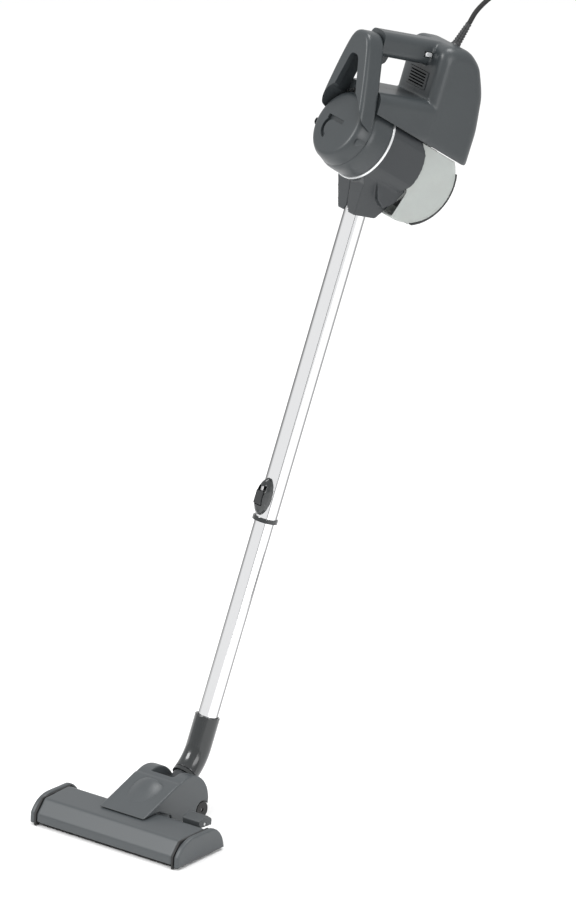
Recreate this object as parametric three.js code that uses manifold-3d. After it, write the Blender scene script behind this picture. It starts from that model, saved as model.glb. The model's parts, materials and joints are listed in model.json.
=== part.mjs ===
// Corded upright stick vacuum cleaner: floor nozzle, telescopic tube and hand-held motor unit.
// Millimetres, +Z up. The origin is the centre of the nozzle's sole on the floor, the nozzle's
// width runs along X and the nozzle's front edge faces -Y.
import * as THREE from 'three';
import { mergeVertices } from 'three/addons/utils/BufferGeometryUtils.js';
import Module from 'manifold-3d';

const wasm = await Module();
wasm.setup();

// ---- Driving dimensions ----------------------------------------------------------------------
const GAP = 0.4;                       // clearance between touching pieces
const FAR = 400;                       // reach of a cutting block

const HOOD = { halfWidth: 122, front: -52, back: 47, edgeHeight: 18, height: 37 };
const END_CAP = { thick: 8.6, gasket: 2.6 };
const HUB = { y: 87, z: 28, radius: 43, halfWidth: 40 };
const ROLLER = { radius: 12, y: 116, z: 12, from: 28.6, to: 39.4, axle: 2.5 };

const NECK_LEAN = 57;                  // degrees from vertical, lower pipe of the elbow
const TUBE_LEAN = 18.8;                // degrees from vertical, tube and hand-held unit
const TURN = -20;                      // degrees about Z, swivel of the tube's plane
const NECK = { drumRadius: 29, drumHalf: 27, pipeRadius: 15, pipeEnd: 42 };
const ELBOW = { radius: 16.6, bend: 62, start: 50, straight: 44 };
const TUBE = { outer: 16, inner: 14.25, wall: 1.0, length: 739, outerLength: 445, innerTop: 400 };
const LOCK = { length: 56, width: 20, depth: 12 };

const DRUM_TILT = 16.7;                // degrees, nose of the drum tips up from the tube's normal
const DRUM = { y: -19, z: 105, radius: 58, wall: 5, sleeve: 34, cap: 55.5, capRadius: 45.5 };
const BODY = { halfWidth: 50, wall: 3, seam: 37.5 };
const CHEEK = { back: -13.4, up: -6.4, radius: 61 };
const CUP = { y: 52, z: 73, radius: 65, halfWidth: 44, wall: 2.4 };
const COVER = { inner: 66, outer: 70, halfWidth: 41, from: -76, to: 12 };
const HINGE = { pin: 1.2, bore: 1.5, barrel: 2.3, halfWidth: 30, lug: 36, angle: COVER.from - 1.4, radius: 67.5 };
const HOLE = { y0: -46, y1: 38, z0: 181, z1: 226 };
const MOTOR = { y: 80, z: 168, radius: 31 };

const CORD = { radius: 3.5, coilRadius: 38.5, rows: 4, x: 350, y: 700 };

// ---- Finishes --------------------------------------------------------------------------------
const FINISH = {
  slate: [0x45494c, 0.45, 0], slateDark: [0x303437, 0.5, 0], nozzle: [0x565b5e, 0.5, 0],
  black: [0x101214, 0.35, 0], rubber: [0x141414, 0.8, 0], chrome: [0xd8dadb, 0.15, 1],
  silver: [0xc9cbcc, 0.3, 0.6], smoke: [0x9ba29f, 0.25, 0], steel: [0xa0a3a5, 0.35, 1],
  copper: [0xb06a3a, 0.4, 1], filter: [0xe4e2d8, 0.9, 0], bristle: [0x0b0b0b, 0.9, 0],
  cord: [0x0c0c0d, 0.55, 0], felt: [0x5a5a58, 0.95, 0],
};

// ---- Solids ----------------------------------------------------------------------------------
const rad = THREE.MathUtils.degToRad;
const vec = (x, y, z) => new THREE.Vector3(x, y, z);

function solid(geometry) {
  const bare = geometry.index ? geometry.toNonIndexed() : geometry.clone();
  for (const name of Object.keys(bare.attributes)) if (name !== 'position') bare.deleteAttribute(name);
  const merged = mergeVertices(bare, 1e-4);
  return new wasm.Manifold(new wasm.Mesh({
    numProp: 3,
    vertProperties: new Float32Array(merged.attributes.position.array),
    triVerts: new Uint32Array(merged.index.array),
  }));
}

function geometryOf(manifold) {
  const mesh = manifold.getMesh();
  const geometry = new THREE.BufferGeometry();
  geometry.setAttribute('position', new THREE.BufferAttribute(new Float32Array(mesh.vertProperties), 3));
  geometry.setIndex(new THREE.BufferAttribute(new Uint32Array(mesh.triVerts), 1));
  geometry.computeVertexNormals();
  return geometry;
}

const join = (first, ...rest) => rest.reduce((sum, next) => sum.add(next), first);
const cut = (first, ...rest) => rest.reduce((sum, next) => sum.subtract(next), first);

function block(x0, x1, y0, y1, z0, z1) {
  const box = new THREE.BoxGeometry(x1 - x0, y1 - y0, z1 - z0);
  return solid(box.translate((x0 + x1) / 2, (y0 + y1) / 2, (z0 + z1) / 2));
}

// A profile in the Y-Z plane, swept along X, with its long edges rounded by a bevel.
function slab(shape, x0, x1, bevel = 0, curveSegments = 8) {
  const geometry = new THREE.ExtrudeGeometry(shape, {
    depth: x1 - x0 - 2 * bevel, bevelEnabled: bevel > 0, bevelSize: bevel, bevelOffset: -bevel,
    bevelThickness: bevel, bevelSegments: 3, curveSegments,
  });
  geometry.translate(0, 0, x0 + bevel);
  const axes = new THREE.Matrix4().makeBasis(vec(0, 1, 0), vec(0, 0, 1), vec(1, 0, 0));
  return solid(geometry.applyMatrix4(axes));
}

// A profile in the X-Z plane, swept along Y.
function plate(shape, y0, y1, bevel = 0, curveSegments = 8) {
  const geometry = new THREE.ExtrudeGeometry(shape, {
    depth: y1 - y0 - 2 * bevel, bevelEnabled: bevel > 0, bevelSize: bevel, bevelOffset: -bevel,
    bevelThickness: bevel, bevelSegments: 2, curveSegments,
  });
  geometry.translate(0, 0, bevel - y1);
  const axes = new THREE.Matrix4().makeBasis(vec(1, 0, 0), vec(0, 0, 1), vec(0, -1, 0));
  return solid(geometry.applyMatrix4(axes));
}

// A profile of [radius, height] pairs that starts and ends on the axis, turned about +Z.
function turned(profile, segments = 32) {
  const points = profile.map(([r, h]) => new THREE.Vector2(r, h));
  return solid(new THREE.LatheGeometry(points, segments).rotateX(Math.PI / 2));
}

function disc(radius, z0, z1, segments = 32) {
  return turned([[0, z0], [radius, z0], [radius, z1], [0, z1]], segments);
}

function ring(outer, inner, z0, z1, segments = 32) {
  return cut(disc(outer, z0, z1, segments), disc(inner, z0 - 1, z1 + 1, segments));
}

function placed(manifold, matrix) {
  return solid(geometryOf(manifold).applyMatrix4(matrix));
}

const moved = (manifold, x, y, z) => placed(manifold, new THREE.Matrix4().makeTranslation(x, y, z));

// A frame whose +Z looks along `axis`, with +X kept on the machine's width where it can be.
function along(axis, at) {
  const z = axis.clone().normalize();
  const x = vec(1, 0, 0).addScaledVector(z, -z.x).normalize();
  const y = z.clone().cross(x);
  return new THREE.Matrix4().makeBasis(x, y, z).setPosition(at);
}

function circle(y, z, radius) {
  const shape = new THREE.Shape();
  shape.absarc(y, z, radius, 0, 2 * Math.PI);
  return shape;
}

function polygon(points) {
  return new THREE.Shape(points.map(([a, b]) => new THREE.Vector2(a, b)));
}

function roundPolygon(points, radius) {
  const corners = points.map(([a, b]) => new THREE.Vector2(a, b));
  const shape = new THREE.Shape();
  corners.forEach((corner, i) => {
    const last = corners[(i + corners.length - 1) % corners.length];
    const next = corners[(i + 1) % corners.length];
    const enter = corner.clone().add(last.clone().sub(corner).setLength(radius));
    const leave = corner.clone().add(next.clone().sub(corner).setLength(radius));
    if (i === 0) shape.moveTo(enter.x, enter.y);
    else shape.lineTo(enter.x, enter.y);
    shape.quadraticCurveTo(corner.x, corner.y, leave.x, leave.y);
  });
  shape.closePath();
  return shape;
}

// A round bar along X.
const bar = (y, z, radius, x0, x1, curveSegments = 8) => (
  slab(circle(y, z, radius), x0, x1, 0, curveSegments)
);

function sweep(curve, radius, sides, steps) {
  const section = new THREE.Shape();
  for (let i = 0; i < sides; i += 1) {
    const angle = (2 * Math.PI * i) / sides;
    const at = [radius * Math.cos(angle), radius * Math.sin(angle)];
    if (i === 0) section.moveTo(...at);
    else section.lineTo(...at);
  }
  return solid(new THREE.ExtrudeGeometry(section, { steps, extrudePath: curve }));
}

// ---- The assembly ----------------------------------------------------------------------------
const machine = new THREE.Group();
const nozzle = new THREE.Group();
const wand = new THREE.Group();
machine.add(nozzle, wand);

function piece(parent, name, finish, manifold) {
  const [color, roughness, metalness] = FINISH[finish];
  const material = new THREE.MeshStandardMaterial({ color, roughness, metalness });
  const mesh = new THREE.Mesh(geometryOf(manifold), material);
  mesh.name = name;
  parent.add(mesh);
  return manifold;
}

// ---- Floor nozzle ----------------------------------------------------------------------------
const hoodProfile = roundPolygon([
  [HOOD.front, 5.4], [HOOD.front + 1, HOOD.edgeHeight], [-34, HOOD.height], [18, HOOD.height + 1],
  [38, 26], [HOOD.back, 22], [HOOD.back, 5.4],
], 2.5);
const hoodInner = polygon([
  [HOOD.front + 3, 3], [HOOD.front + 4, HOOD.edgeHeight - 1], [-33, HOOD.height - 3],
  [17, HOOD.height - 2], [36, 23], [HOOD.back - 3, 19], [HOOD.back - 3, 3],
]);
const hubOuter = new THREE.Shape();
hubOuter.moveTo(-16, HOOD.height + 1.6);
hubOuter.lineTo(HUB.y - 22, HUB.z + HUB.radius - 4);
hubOuter.absarc(HUB.y, HUB.z, HUB.radius, 2.02, -0.35, true);
hubOuter.lineTo(HUB.y + 36, 8);
hubOuter.lineTo(HOOD.back + GAP, 8);
hubOuter.lineTo(HOOD.back + GAP, 26);
hubOuter.lineTo(38, 30);
hubOuter.lineTo(22, HOOD.height + 1.6);
hubOuter.closePath();
const neckSlot = polygon([
  [HUB.y - 20, 28], [HUB.y - 6, 90], [HUB.y + 70, 90], [HUB.y + 70, 15], [HUB.y + 17, 15],
]);
const drumRoom = bar(HUB.y, HUB.z, NECK.drumRadius + 1.2, -NECK.drumHalf - 1, NECK.drumHalf + 1, 10);
const ductRoom = block(-19, 19, 20, HUB.y, 12, 34);
const suctionDuct = block(-19, 19, 5, 60, 12, 24);
const pedalPlace = { x: 87, y: 46, z: 30 };

const rollerRoom = (sign) => bar(
  ROLLER.y, ROLLER.z, ROLLER.radius + 1.4,
  sign > 0 ? ROLLER.from - 0.6 : -HUB.halfWidth - 1, sign > 0 ? HUB.halfWidth + 1 : 0.6 - ROLLER.from,
);
const hubHousing = cut(
  slab(hubOuter, -HUB.halfWidth, HUB.halfWidth),
  drumRoom, ductRoom, suctionDuct,
  slab(neckSlot, -20, 20),
  bar(HUB.y, HUB.z, 4.4, -36, 36),
  rollerRoom(-1), rollerRoom(1),
  block(-FAR, FAR, HOOD.back - 10, FAR, -10, 8),
);
piece(nozzle, 'hub_housing', 'nozzle', cut(hubHousing, bar(ROLLER.y, ROLLER.z, ROLLER.axle + GAP, -38, 38)));

piece(nozzle, 'nozzle_hood', 'nozzle', cut(
  slab(hoodProfile, -HOOD.halfWidth, HOOD.halfWidth),
  slab(hoodInner, -HOOD.halfWidth + 3, HOOD.halfWidth - 3),
  block(-HUB.halfWidth - GAP, HUB.halfWidth + GAP, 22, 60, 14, 60),
  suctionDuct,
  block(pedalPlace.x - 16.5, pedalPlace.x + 16.5, 30, 60, 19, 60),
));

const capProfile = new THREE.Shape();
capProfile.moveTo(HOOD.front, 3);
capProfile.lineTo(HOOD.front + 1, HOOD.edgeHeight);
capProfile.quadraticCurveTo(-38, HOOD.height + 2, -14, HOOD.height + 2);
capProfile.lineTo(26, HOOD.height + 1);
capProfile.quadraticCurveTo(HOOD.back, 32, HOOD.back + 3, 3);
capProfile.closePath();
const gasketProfile = polygon([
  [HOOD.front - 1.2, 1], [HOOD.front, HOOD.edgeHeight + 1], [-36, HOOD.height], [26, HOOD.height],
  [HOOD.back, 12], [HOOD.back, 5.6],
]);
for (const [side, sign] of [['left', 1], ['right', -1]]) {
  const inner = HOOD.halfWidth + GAP;
  const outer = inner + END_CAP.gasket;
  const far = outer + GAP + END_CAP.thick;
  const span = (a, b) => (sign > 0 ? [a, b] : [-b, -a]);
  piece(nozzle, `corner_seal_${side}`, 'rubber', slab(gasketProfile, ...span(inner, outer)));
  piece(nozzle, `end_cap_${side}`, 'nozzle', slab(capProfile, ...span(outer + GAP, far), 2.4));
}

const sole = cut(
  block(-HOOD.halfWidth + 4, HOOD.halfWidth - 4, HOOD.front + 9, HOOD.back - 4, 0, 5),
  block(-104, 104, -36, -12, -1, 6),
);
piece(nozzle, 'sole_plate', 'slateDark', sole);
piece(nozzle, 'front_brush', 'bristle', block(
  -HOOD.halfWidth + 5, HOOD.halfWidth - 5, HOOD.front + 4.6, HOOD.front + 8.2, 0.3, 12,
));
for (const [name, y] of [['lint_strip_front', -33.8], ['lint_strip_rear', -14.2]]) {
  piece(nozzle, name, 'felt', block(-103, 103, y - 1.8, y + 1.8, 0.4, 4.6));
}
piece(nozzle, 'suction_tunnel', 'slateDark', cut(
  block(-18.4, 18.4, 5.6, 57, 12.6, 23.6), block(-16.4, 16.4, 4, 60, 14.4, 21.8),
));
piece(nozzle, 'floor_pedal', 'slateDark', cut(slab(roundPolygon(
  [[34, 27], [33, 38], [52, 41], [61, 34], [60, 25]], 2,
), pedalPlace.x - 15, pedalPlace.x + 15), bar(pedalPlace.y, pedalPlace.z, 2.3, 0, 200)));
piece(nozzle, 'pedal_pin', 'steel', bar(
  pedalPlace.y, pedalPlace.z, 2, pedalPlace.x - 14.6, pedalPlace.x + 14.6,
));
for (const [side, x0, x1] of [['left', ROLLER.from, ROLLER.to], ['right', -ROLLER.to, -ROLLER.from]]) {
  piece(nozzle, `rear_roller_${side}`, 'rubber', cut(
    bar(ROLLER.y, ROLLER.z, ROLLER.radius, x0, x1, 10),
    bar(ROLLER.y, ROLLER.z, ROLLER.axle + GAP, x0 - 1, x1 + 1),
  ));
}
piece(nozzle, 'roller_axle', 'steel', bar(ROLLER.y, ROLLER.z, ROLLER.axle, -37.6, 37.6));
piece(nozzle, 'hub_pin', 'steel', bar(HUB.y, HUB.z, 4, -35, 35));

const soleScrew = turned([[0, 0], [2.6, 0], [2.6, 0.6], [1.2, 0.6], [1.2, 4.2], [0, 4.2]], 10);
[[-96, 30], [96, 30]].forEach(([x, y], i) => {
  piece(nozzle, `sole_screw_${i + 1}`, 'steel', moved(soleScrew, x, y, 5.4));
});

// ---- Neck, elbow and tube: one line from the hub to the hand-held unit -----------------------
const hubCentre = vec(0, HUB.y, HUB.z);
const lowerAxis = vec(0, Math.sin(rad(NECK_LEAN)), Math.cos(rad(NECK_LEAN)));
const turnOut = new THREE.Matrix4().makeRotationZ(rad(TURN));
const tubeAxis = vec(0, Math.sin(rad(TUBE_LEAN)), Math.cos(rad(TUBE_LEAN))).applyMatrix4(turnOut);
const bendAngle = lowerAxis.angleTo(tubeAxis);
const bendSide = tubeAxis.clone().addScaledVector(lowerAxis, -tubeAxis.dot(lowerAxis)).normalize();
const bendStart = hubCentre.clone().addScaledVector(lowerAxis, ELBOW.start);
const bendPoint = (angle) => bendStart.clone()
  .addScaledVector(lowerAxis, ELBOW.bend * Math.sin(angle))
  .addScaledVector(bendSide, ELBOW.bend * (1 - Math.cos(angle)));
const bendEnd = bendPoint(bendAngle);
const tubeFoot = bendEnd.clone().addScaledVector(tubeAxis, ELBOW.straight);
const tubeTop = tubeFoot.clone().addScaledVector(tubeAxis, TUBE.length);

class ElbowLine extends THREE.Curve {
  constructor(from, to) {
    super();
    this.from = from;
    this.total = to - from;
  }

  getPoint(t, target = vec(0, 0, 0)) {
    const s = this.from + t * this.total;
    const arc = ELBOW.bend * bendAngle;
    if (s < 0) return target.copy(bendStart).addScaledVector(lowerAxis, s);
    if (s < arc) return target.copy(bendPoint(s / ELBOW.bend));
    return target.copy(bendEnd).addScaledVector(tubeAxis, s - arc);
  }
}

const arcLength = ELBOW.bend * bendAngle;
const lowerFrame = along(lowerAxis, hubCentre);
const tubeFrame = along(tubeAxis, tubeFoot);

const neckBore = placed(disc(NECK.pipeRadius - 2.2, -2, 60, 24), lowerFrame);
piece(wand, 'neck_drum', 'slateDark', cut(
  join(
    bar(HUB.y, HUB.z, NECK.drumRadius, -NECK.drumHalf, NECK.drumHalf, 12),
    placed(disc(NECK.pipeRadius, 0, NECK.pipeEnd, 24), lowerFrame),
  ),
  neckBore,
  bar(HUB.y, HUB.z, 4.4, -30, 30),
));
const swivelAt = NECK.pipeEnd + 0.5;
piece(wand, 'swivel_collar', 'black', placed(
  ring(ELBOW.radius + 1.4, NECK.pipeRadius - 3.2, swivelAt - 0.1, swivelAt + 5, 28), lowerFrame,
));
piece(wand, 'elbow_pipe', 'black', cut(
  sweep(new ElbowLine(-2, arcLength + ELBOW.straight), ELBOW.radius + 1.6, 24, 22),
  sweep(new ElbowLine(-4, arcLength + ELBOW.straight - 24), ELBOW.radius - 3.4, 16, 18),
  placed(disc(TUBE.inner + GAP, -26, 2, 28), tubeFrame),
));

const tubeEnd = TUBE.length + 28;
const outerFrom = TUBE.length - TUBE.outerLength;
piece(wand, 'inner_tube', 'chrome', placed(
  ring(TUBE.inner, TUBE.inner - TUBE.wall, -25, TUBE.innerTop, 32), tubeFrame,
));
piece(wand, 'outer_tube', 'chrome', placed(
  ring(TUBE.outer, TUBE.outer - TUBE.wall, outerFrom, tubeEnd, 32), tubeFrame,
));
piece(wand, 'guide_sleeve', 'slateDark', placed(
  ring(TUBE.outer - TUBE.wall - 0.1, TUBE.inner + 0.15, outerFrom + 4, outerFrom + 34, 28), tubeFrame,
));
piece(wand, 'tube_collar', 'black', placed(
  ring(TUBE.outer + 2.4, TUBE.inner + GAP, outerFrom - 6, outerFrom - GAP, 28), tubeFrame,
));

// The lock sits on the front of the outer tube, just above the collar.
const lockFrame = tubeFrame.clone();
const lockBody = cut(
  solid(new THREE.SphereGeometry(1, 18, 10).scale(LOCK.width / 2 + 1, LOCK.depth + 7, LOCK.length / 2)
    .translate(0, -TUBE.outer + 1, outerFrom + LOCK.length / 2 + 2)),
  disc(TUBE.outer + GAP, outerFrom - 5, outerFrom + LOCK.length + 20, 32),
  block(-FAR, FAR, -4, FAR, -FAR, FAR * 4),
);
const slideRoom = block(-6.4, 6.4, -FAR, -TUBE.outer - 7, outerFrom + 18, outerFrom + 46);
piece(wand, 'lock_housing', 'black', placed(cut(lockBody, slideRoom), lockFrame));
piece(wand, 'lock_button', 'black', placed(
  block(-5.8, 5.8, -TUBE.outer - 15, -TUBE.outer - 7.5, outerFrom + 19, outerFrom + 38), lockFrame,
));
piece(wand, 'lock_spring', 'steel', placed(
  moved(disc(2.2, 0, 6, 10), 0, -TUBE.outer - 10.6, outerFrom + 39), lockFrame,
));

// ---- Hand-held unit: X across, Y towards the back, Z along the tube, origin at the tube's top --
const hand = new THREE.Group();
const handTurn = new THREE.Group();
const handTilt = new THREE.Group();
handTurn.position.copy(tubeTop);
handTurn.rotation.z = rad(TURN);
handTilt.rotation.x = -rad(TUBE_LEAN);
machine.add(handTurn);
handTurn.add(handTilt);
handTilt.add(hand);

// The drum's own frame: +Z along its nose, +Y up across it, origin at the centre of the trim ring.
const drumNose = vec(0, -Math.cos(rad(DRUM_TILT)), Math.sin(rad(DRUM_TILT)));
const drumUp = vec(0, Math.sin(rad(DRUM_TILT)), Math.cos(rad(DRUM_TILT)));
const drumFrame = new THREE.Matrix4().makeBasis(vec(1, 0, 0), drumUp, drumNose)
  .setPosition(0, DRUM.y, DRUM.z);
const inDrum = (manifold) => placed(manifold, drumFrame);
const drumPoint = (up, nose) => [
  DRUM.y + up * drumUp.y + nose * drumNose.y, DRUM.z + up * drumUp.z + nose * drumNose.z,
];

// Front frame: a teardrop loop round the window, with the sleeve of the drum below it.
const apex = { z: 240, radius: 20 };
const loop = new THREE.Shape();
loop.moveTo(-DRUM.radius + 3, 108);
loop.quadraticCurveTo(-52, 160, -apex.radius, apex.z);
loop.quadraticCurveTo(-13, 257, 0, 257);
loop.quadraticCurveTo(13, 257, apex.radius, apex.z);
loop.quadraticCurveTo(52, 160, DRUM.radius - 3, 108);
loop.closePath();
const windowShape = roundPolygon([[-31, 167], [-9, 224], [9, 224], [31, 167]], 6);
const wideWindow = roundPolygon([[-37, 161], [-12, 230], [12, 230], [37, 161]], 6);
const handRoom = block(-FAR, FAR, HOLE.y0 - 14, HOLE.y1, HOLE.z0 + 1, HOLE.z1);
const sleeveRoom = inDrum(disc(DRUM.radius - DRUM.wall, -FAR, FAR, 40));
const sleeve = inDrum(turned([
  [0, 2], [DRUM.radius - 0.6, 2], [DRUM.radius - 2.2, DRUM.sleeve - 2], [DRUM.radius - 3.6, DRUM.sleeve],
  [0, DRUM.sleeve],
], 40));
piece(hand, 'front_frame', 'slate', cut(
  join(
    cut(plate(loop, -75, HOLE.y0 - GAP, 0, 10), plate(windowShape, -90, -40), plate(wideWindow, -66, -40),
      placed(block(-FAR, FAR, -FAR, FAR, -FAR, 2), drumFrame)),
    sleeve,
  ),
  sleeveRoom, inDrum(disc(DRUM.radius - 2.8, DRUM.sleeve, FAR, 40)),
));

// Front cap with its recessed release tab, and the filter behind it.
const capFace = DRUM.cap;
const capOutside = turned([
  [0, DRUM.sleeve + GAP], [DRUM.radius - 3.6, DRUM.sleeve + GAP], [DRUM.radius - 4, DRUM.sleeve + 3],
  [DRUM.capRadius + 3.4, capFace - 5], [DRUM.capRadius, capFace - 1], [DRUM.capRadius - 3, capFace],
  [0, capFace],
], 40);
const capInside = disc(DRUM.capRadius - 2, DRUM.sleeve - 1, capFace - 6, 36);
const slotBar = block(-24, 12, 3, 7, capFace - 3, capFace + 2);
const slotBow = cut(
  ring(16, 11.5, capFace - 3, capFace + 2, 28), block(-2, FAR, -FAR, FAR, -FAR, FAR),
);
piece(hand, 'front_cap', 'slate', inDrum(cut(
  capOutside, capInside, slotBar, moved(slotBow, -10, -9.2, 0),
)));
const tabs = [0, 1, 2].map((i) => placed(
  block(-6, 6, DRUM.radius - DRUM.wall - 3.4, DRUM.radius - DRUM.wall - 1.4, 22, DRUM.sleeve + GAP - 0.1),
  new THREE.Matrix4().makeRotationZ((i * 2 * Math.PI) / 3),
));
piece(hand, 'bayonet_ring', 'slateDark', inDrum(join(
  ring(DRUM.radius - DRUM.wall - 1.2, DRUM.radius - DRUM.wall - 4, 26, 32, 36), ...tabs,
)));
piece(hand, 'filter_frame', 'slateDark', inDrum(ring(46, 42, -6, 24, 36)));
piece(hand, 'pleated_filter', 'filter', inDrum(ring(41.4, 20, -4, 22, 36)));
piece(hand, 'trim_ring', 'silver', inDrum(ring(DRUM.radius + 1, DRUM.radius - DRUM.wall, -1.6, 1.6, 48)));

// Upper housing: rear body, deck under the hand hole and handle bar, as two moulded halves.
const [seamFrontY, seamFrontZ] = drumPoint(BODY.seam, 2);
const [seamBackY, seamBackZ] = drumPoint(BODY.seam, -136);
const rearShape = new THREE.Shape();
rearShape.moveTo(seamFrontY, seamFrontZ);
rearShape.lineTo(HOLE.y0, 146);
rearShape.lineTo(HOLE.y0, HOLE.z0);
rearShape.lineTo(HOLE.y1, HOLE.z0);
rearShape.lineTo(HOLE.y1, 252);
rearShape.quadraticCurveTo(44, 262, 62, 262);
rearShape.quadraticCurveTo(98, 262, 112, 232);
rearShape.quadraticCurveTo(144, 180, seamBackY, seamBackZ);
rearShape.closePath();
const rearInside = new THREE.Shape();
rearInside.moveTo(10, 148);
rearInside.lineTo(10, HOLE.z0 - BODY.wall);
rearInside.lineTo(HOLE.y1 + BODY.wall, HOLE.z0 - BODY.wall);
rearInside.lineTo(HOLE.y1 + BODY.wall, 252);
rearInside.quadraticCurveTo(60, 260, 74, 257);
rearInside.quadraticCurveTo(96, 252, 106, 230);
rearInside.quadraticCurveTo(137, 180, seamBackY - 6, seamBackZ + 8);
rearInside.closePath();
const barShape = roundPolygon([
  [HOLE.y0 + GAP, HOLE.z1], [HOLE.y0 + GAP, 258], [60, 262], [60, HOLE.z1],
], 5);
const barInside = polygon([[HOLE.y0 + 4, HOLE.z1 + 4], [HOLE.y0 + 4, 254], [60, 258], [60, HOLE.z1 + 4]]);
const bootAt = vec(0, 84, 258);
const bootAxis = vec(0, 0.33, 0.944);
const bootFrame = along(bootAxis, bootAt);
const overDrum = inDrum(disc(DRUM.radius + 1.2, -FAR, FAR, 48));
const trigger = { y0: HOLE.y0 + 3, y1: -24, z0: HOLE.z1 - 14, z1: HOLE.z1 + 10, half: 9 };
const upper = cut(
  join(
    slab(rearShape, -BODY.halfWidth, BODY.halfWidth, 0, 10),
    slab(barShape, -19, 19),
  ),
  slab(rearInside, -BODY.halfWidth + BODY.wall, BODY.halfWidth - BODY.wall, 0, 8),
  slab(barInside, -15, 15),
  overDrum,
  placed(disc(8.4, -20, 20, 20), bootFrame),
  block(-trigger.half - GAP, trigger.half + GAP, trigger.y0 - GAP, trigger.y1 + GAP, 200, HOLE.z1 + 11),
  block(-24, 24, HOLE.y1 - 4, HOLE.y1 + 8, 192, 218),
  block(14, 24, 24, 38, 238, 246),
);
piece(hand, 'upper_housing_left', 'slate', cut(upper, block(-FAR, GAP / 2, -FAR, FAR, -FAR, FAR)));
piece(hand, 'upper_housing_right', 'slate', cut(upper, block(-GAP / 2, FAR, -FAR, FAR, -FAR, FAR)));

piece(hand, 'power_trigger', 'slateDark', slab(roundPolygon([
  [trigger.y0, HOLE.z1 + 4], [trigger.y0, trigger.z0 + 4], [trigger.y0 + 6, trigger.z0],
  [trigger.y1 - 4, HOLE.z1 - 8], [trigger.y1, HOLE.z1 + 4],
], 2), -trigger.half, trigger.half));
piece(hand, 'trigger_spring', 'steel', moved(disc(2.4, 0, 6, 10), 0, -34, HOLE.z1 + 5));
piece(hand, 'switch_block', 'black', block(-10, 10, -44 + 4.6, -20, HOLE.z1 + 11.4, 250));
piece(hand, 'speed_button', 'silver', slab(roundPolygon(
  [[25.5, 239], [25.5, 245], [36.5, 245], [36.5, 239]], 2.4,
), 14.6, 21));
piece(hand, 'vent_grille', 'slateDark', cut(
  block(-23.4, 23.4, HOLE.y1 - 1, HOLE.y1 + 2.6, 192.6, 217.4),
  ...[0, 1, 2, 3, 4].map((i) => block(-19, 19, HOLE.y1 - 3, HOLE.y1 + 4, 195.6 + 4.2 * i, 197.6 + 4.2 * i)),
));

// Motor, fan and their mounts inside the rear body, on an axis parallel to the drum's.
const motorFrame = new THREE.Matrix4().makeBasis(vec(1, 0, 0), drumUp, drumNose)
  .setPosition(0, MOTOR.y, MOTOR.z);
const inMotor = (manifold) => placed(manifold, motorFrame);
piece(hand, 'motor_can', 'steel', inMotor(cut(
  disc(MOTOR.radius, -26, 8, 28), disc(MOTOR.radius - 2, -24, 9, 28), disc(5.4, -30, 10, 16),
)));
piece(hand, 'motor_rotor', 'copper', inMotor(join(
  disc(20, -20, 2, 20), disc(4, -32, 24, 12), disc(26, 12, 20, 24),
)));
piece(hand, 'fan_shroud', 'slateDark', inMotor(cut(
  disc(MOTOR.radius, 8.5, 27, 28), disc(MOTOR.radius - 2, 7, 25, 28), disc(12, 20, 30, 20),
)));
piece(hand, 'motor_seal', 'rubber', inMotor(ring(MOTOR.radius + 3, MOTOR.radius + 0.3, -6, 2, 28)));
piece(hand, 'exhaust_foam', 'felt', block(-30, 30, 60, 90, 226, 238));

// Lower housing: the drum's back with its round cheeks, and the duct that takes the tube.
const belowSeam = placed(block(-FAR, FAR, -FAR, BODY.seam - GAP, -FAR, FAR), drumFrame);
const [cheekY, cheekZ] = drumPoint(CHEEK.up, CHEEK.back);
const drumBack = inDrum(disc(DRUM.radius - 0.6, -80, -2, 48))
  .intersect(bar(cheekY, cheekZ, CHEEK.radius, -BODY.halfWidth - 2, BODY.halfWidth + 2, 20))
  .intersect(belowSeam);
const ductFront = polygon([[-21, 2], [-23, 8], [-34, 48], [-44, 76], [44, 76], [34, 48], [23, 8], [21, 2]]);
const ductSide = polygon([
  [-15.6, 0], [-23.5, 50], [-36, 72], [20, 84], [40, 46], [30, 18], [19, 0],
]);
const duct = plate(ductFront, -60, 60).intersect(slab(ductSide, -60, 60));
const bellyHalf = 40;
const belly = slab(polygon([[-8, 62], [4, 32], [16, 22], [31, 30], [43, 50], [36, 66]]), -bellyHalf, bellyHalf);
const tubeRoom = disc(TUBE.outer + GAP, -5, 30, 32);
const airway = join(disc(TUBE.inner - 1, 20, 70, 24), block(-16, 16, -12, 60, 52, 80));
const lower = cut(
  join(drumBack, cut(join(duct, belly), inDrum(disc(DRUM.radius + 1.2, -2, FAR, 48)))),
  tubeRoom, airway,
  inDrum(disc(46.6, -16, 1, 36)),
);
piece(hand, 'lower_housing_left', 'slateDark', cut(lower, block(-FAR, GAP / 2, -FAR, FAR, -FAR, FAR)));
piece(hand, 'lower_housing_right', 'slateDark', cut(lower, block(-GAP / 2, FAR, -FAR, FAR, -FAR, FAR)));

// Dust cup with its emptying cover, hinge pin, seal and latch.
const cupShape = bar(CUP.y, CUP.z, CUP.radius, -CUP.halfWidth, CUP.halfWidth, 24);
const cupRoom = bar(CUP.y, CUP.z, CUP.radius - CUP.wall, -CUP.halfWidth + CUP.wall, CUP.halfWidth - CUP.wall, 24);
const cheekClear = bar(cheekY, cheekZ, CHEEK.radius + GAP, -FAR, FAR, 20);
const bellyClear = slab(polygon([
  [-60, 80], [-60, -8], [20, -4], [32, 17], [43.6, 49.6], [36, 80],
]), -FAR, FAR);
const belowCup = placed(block(-FAR, FAR, -FAR, BODY.seam - 1, -FAR, FAR), drumFrame);
const at = (angle, radius) => [
  CUP.y + radius * Math.cos(rad(angle)), CUP.z + radius * Math.sin(rad(angle)),
];
const emptying = polygon([at(-64, 40), at(-64, 80), at(-30, 84), at(-2, 80), at(-2, 40)]);
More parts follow.
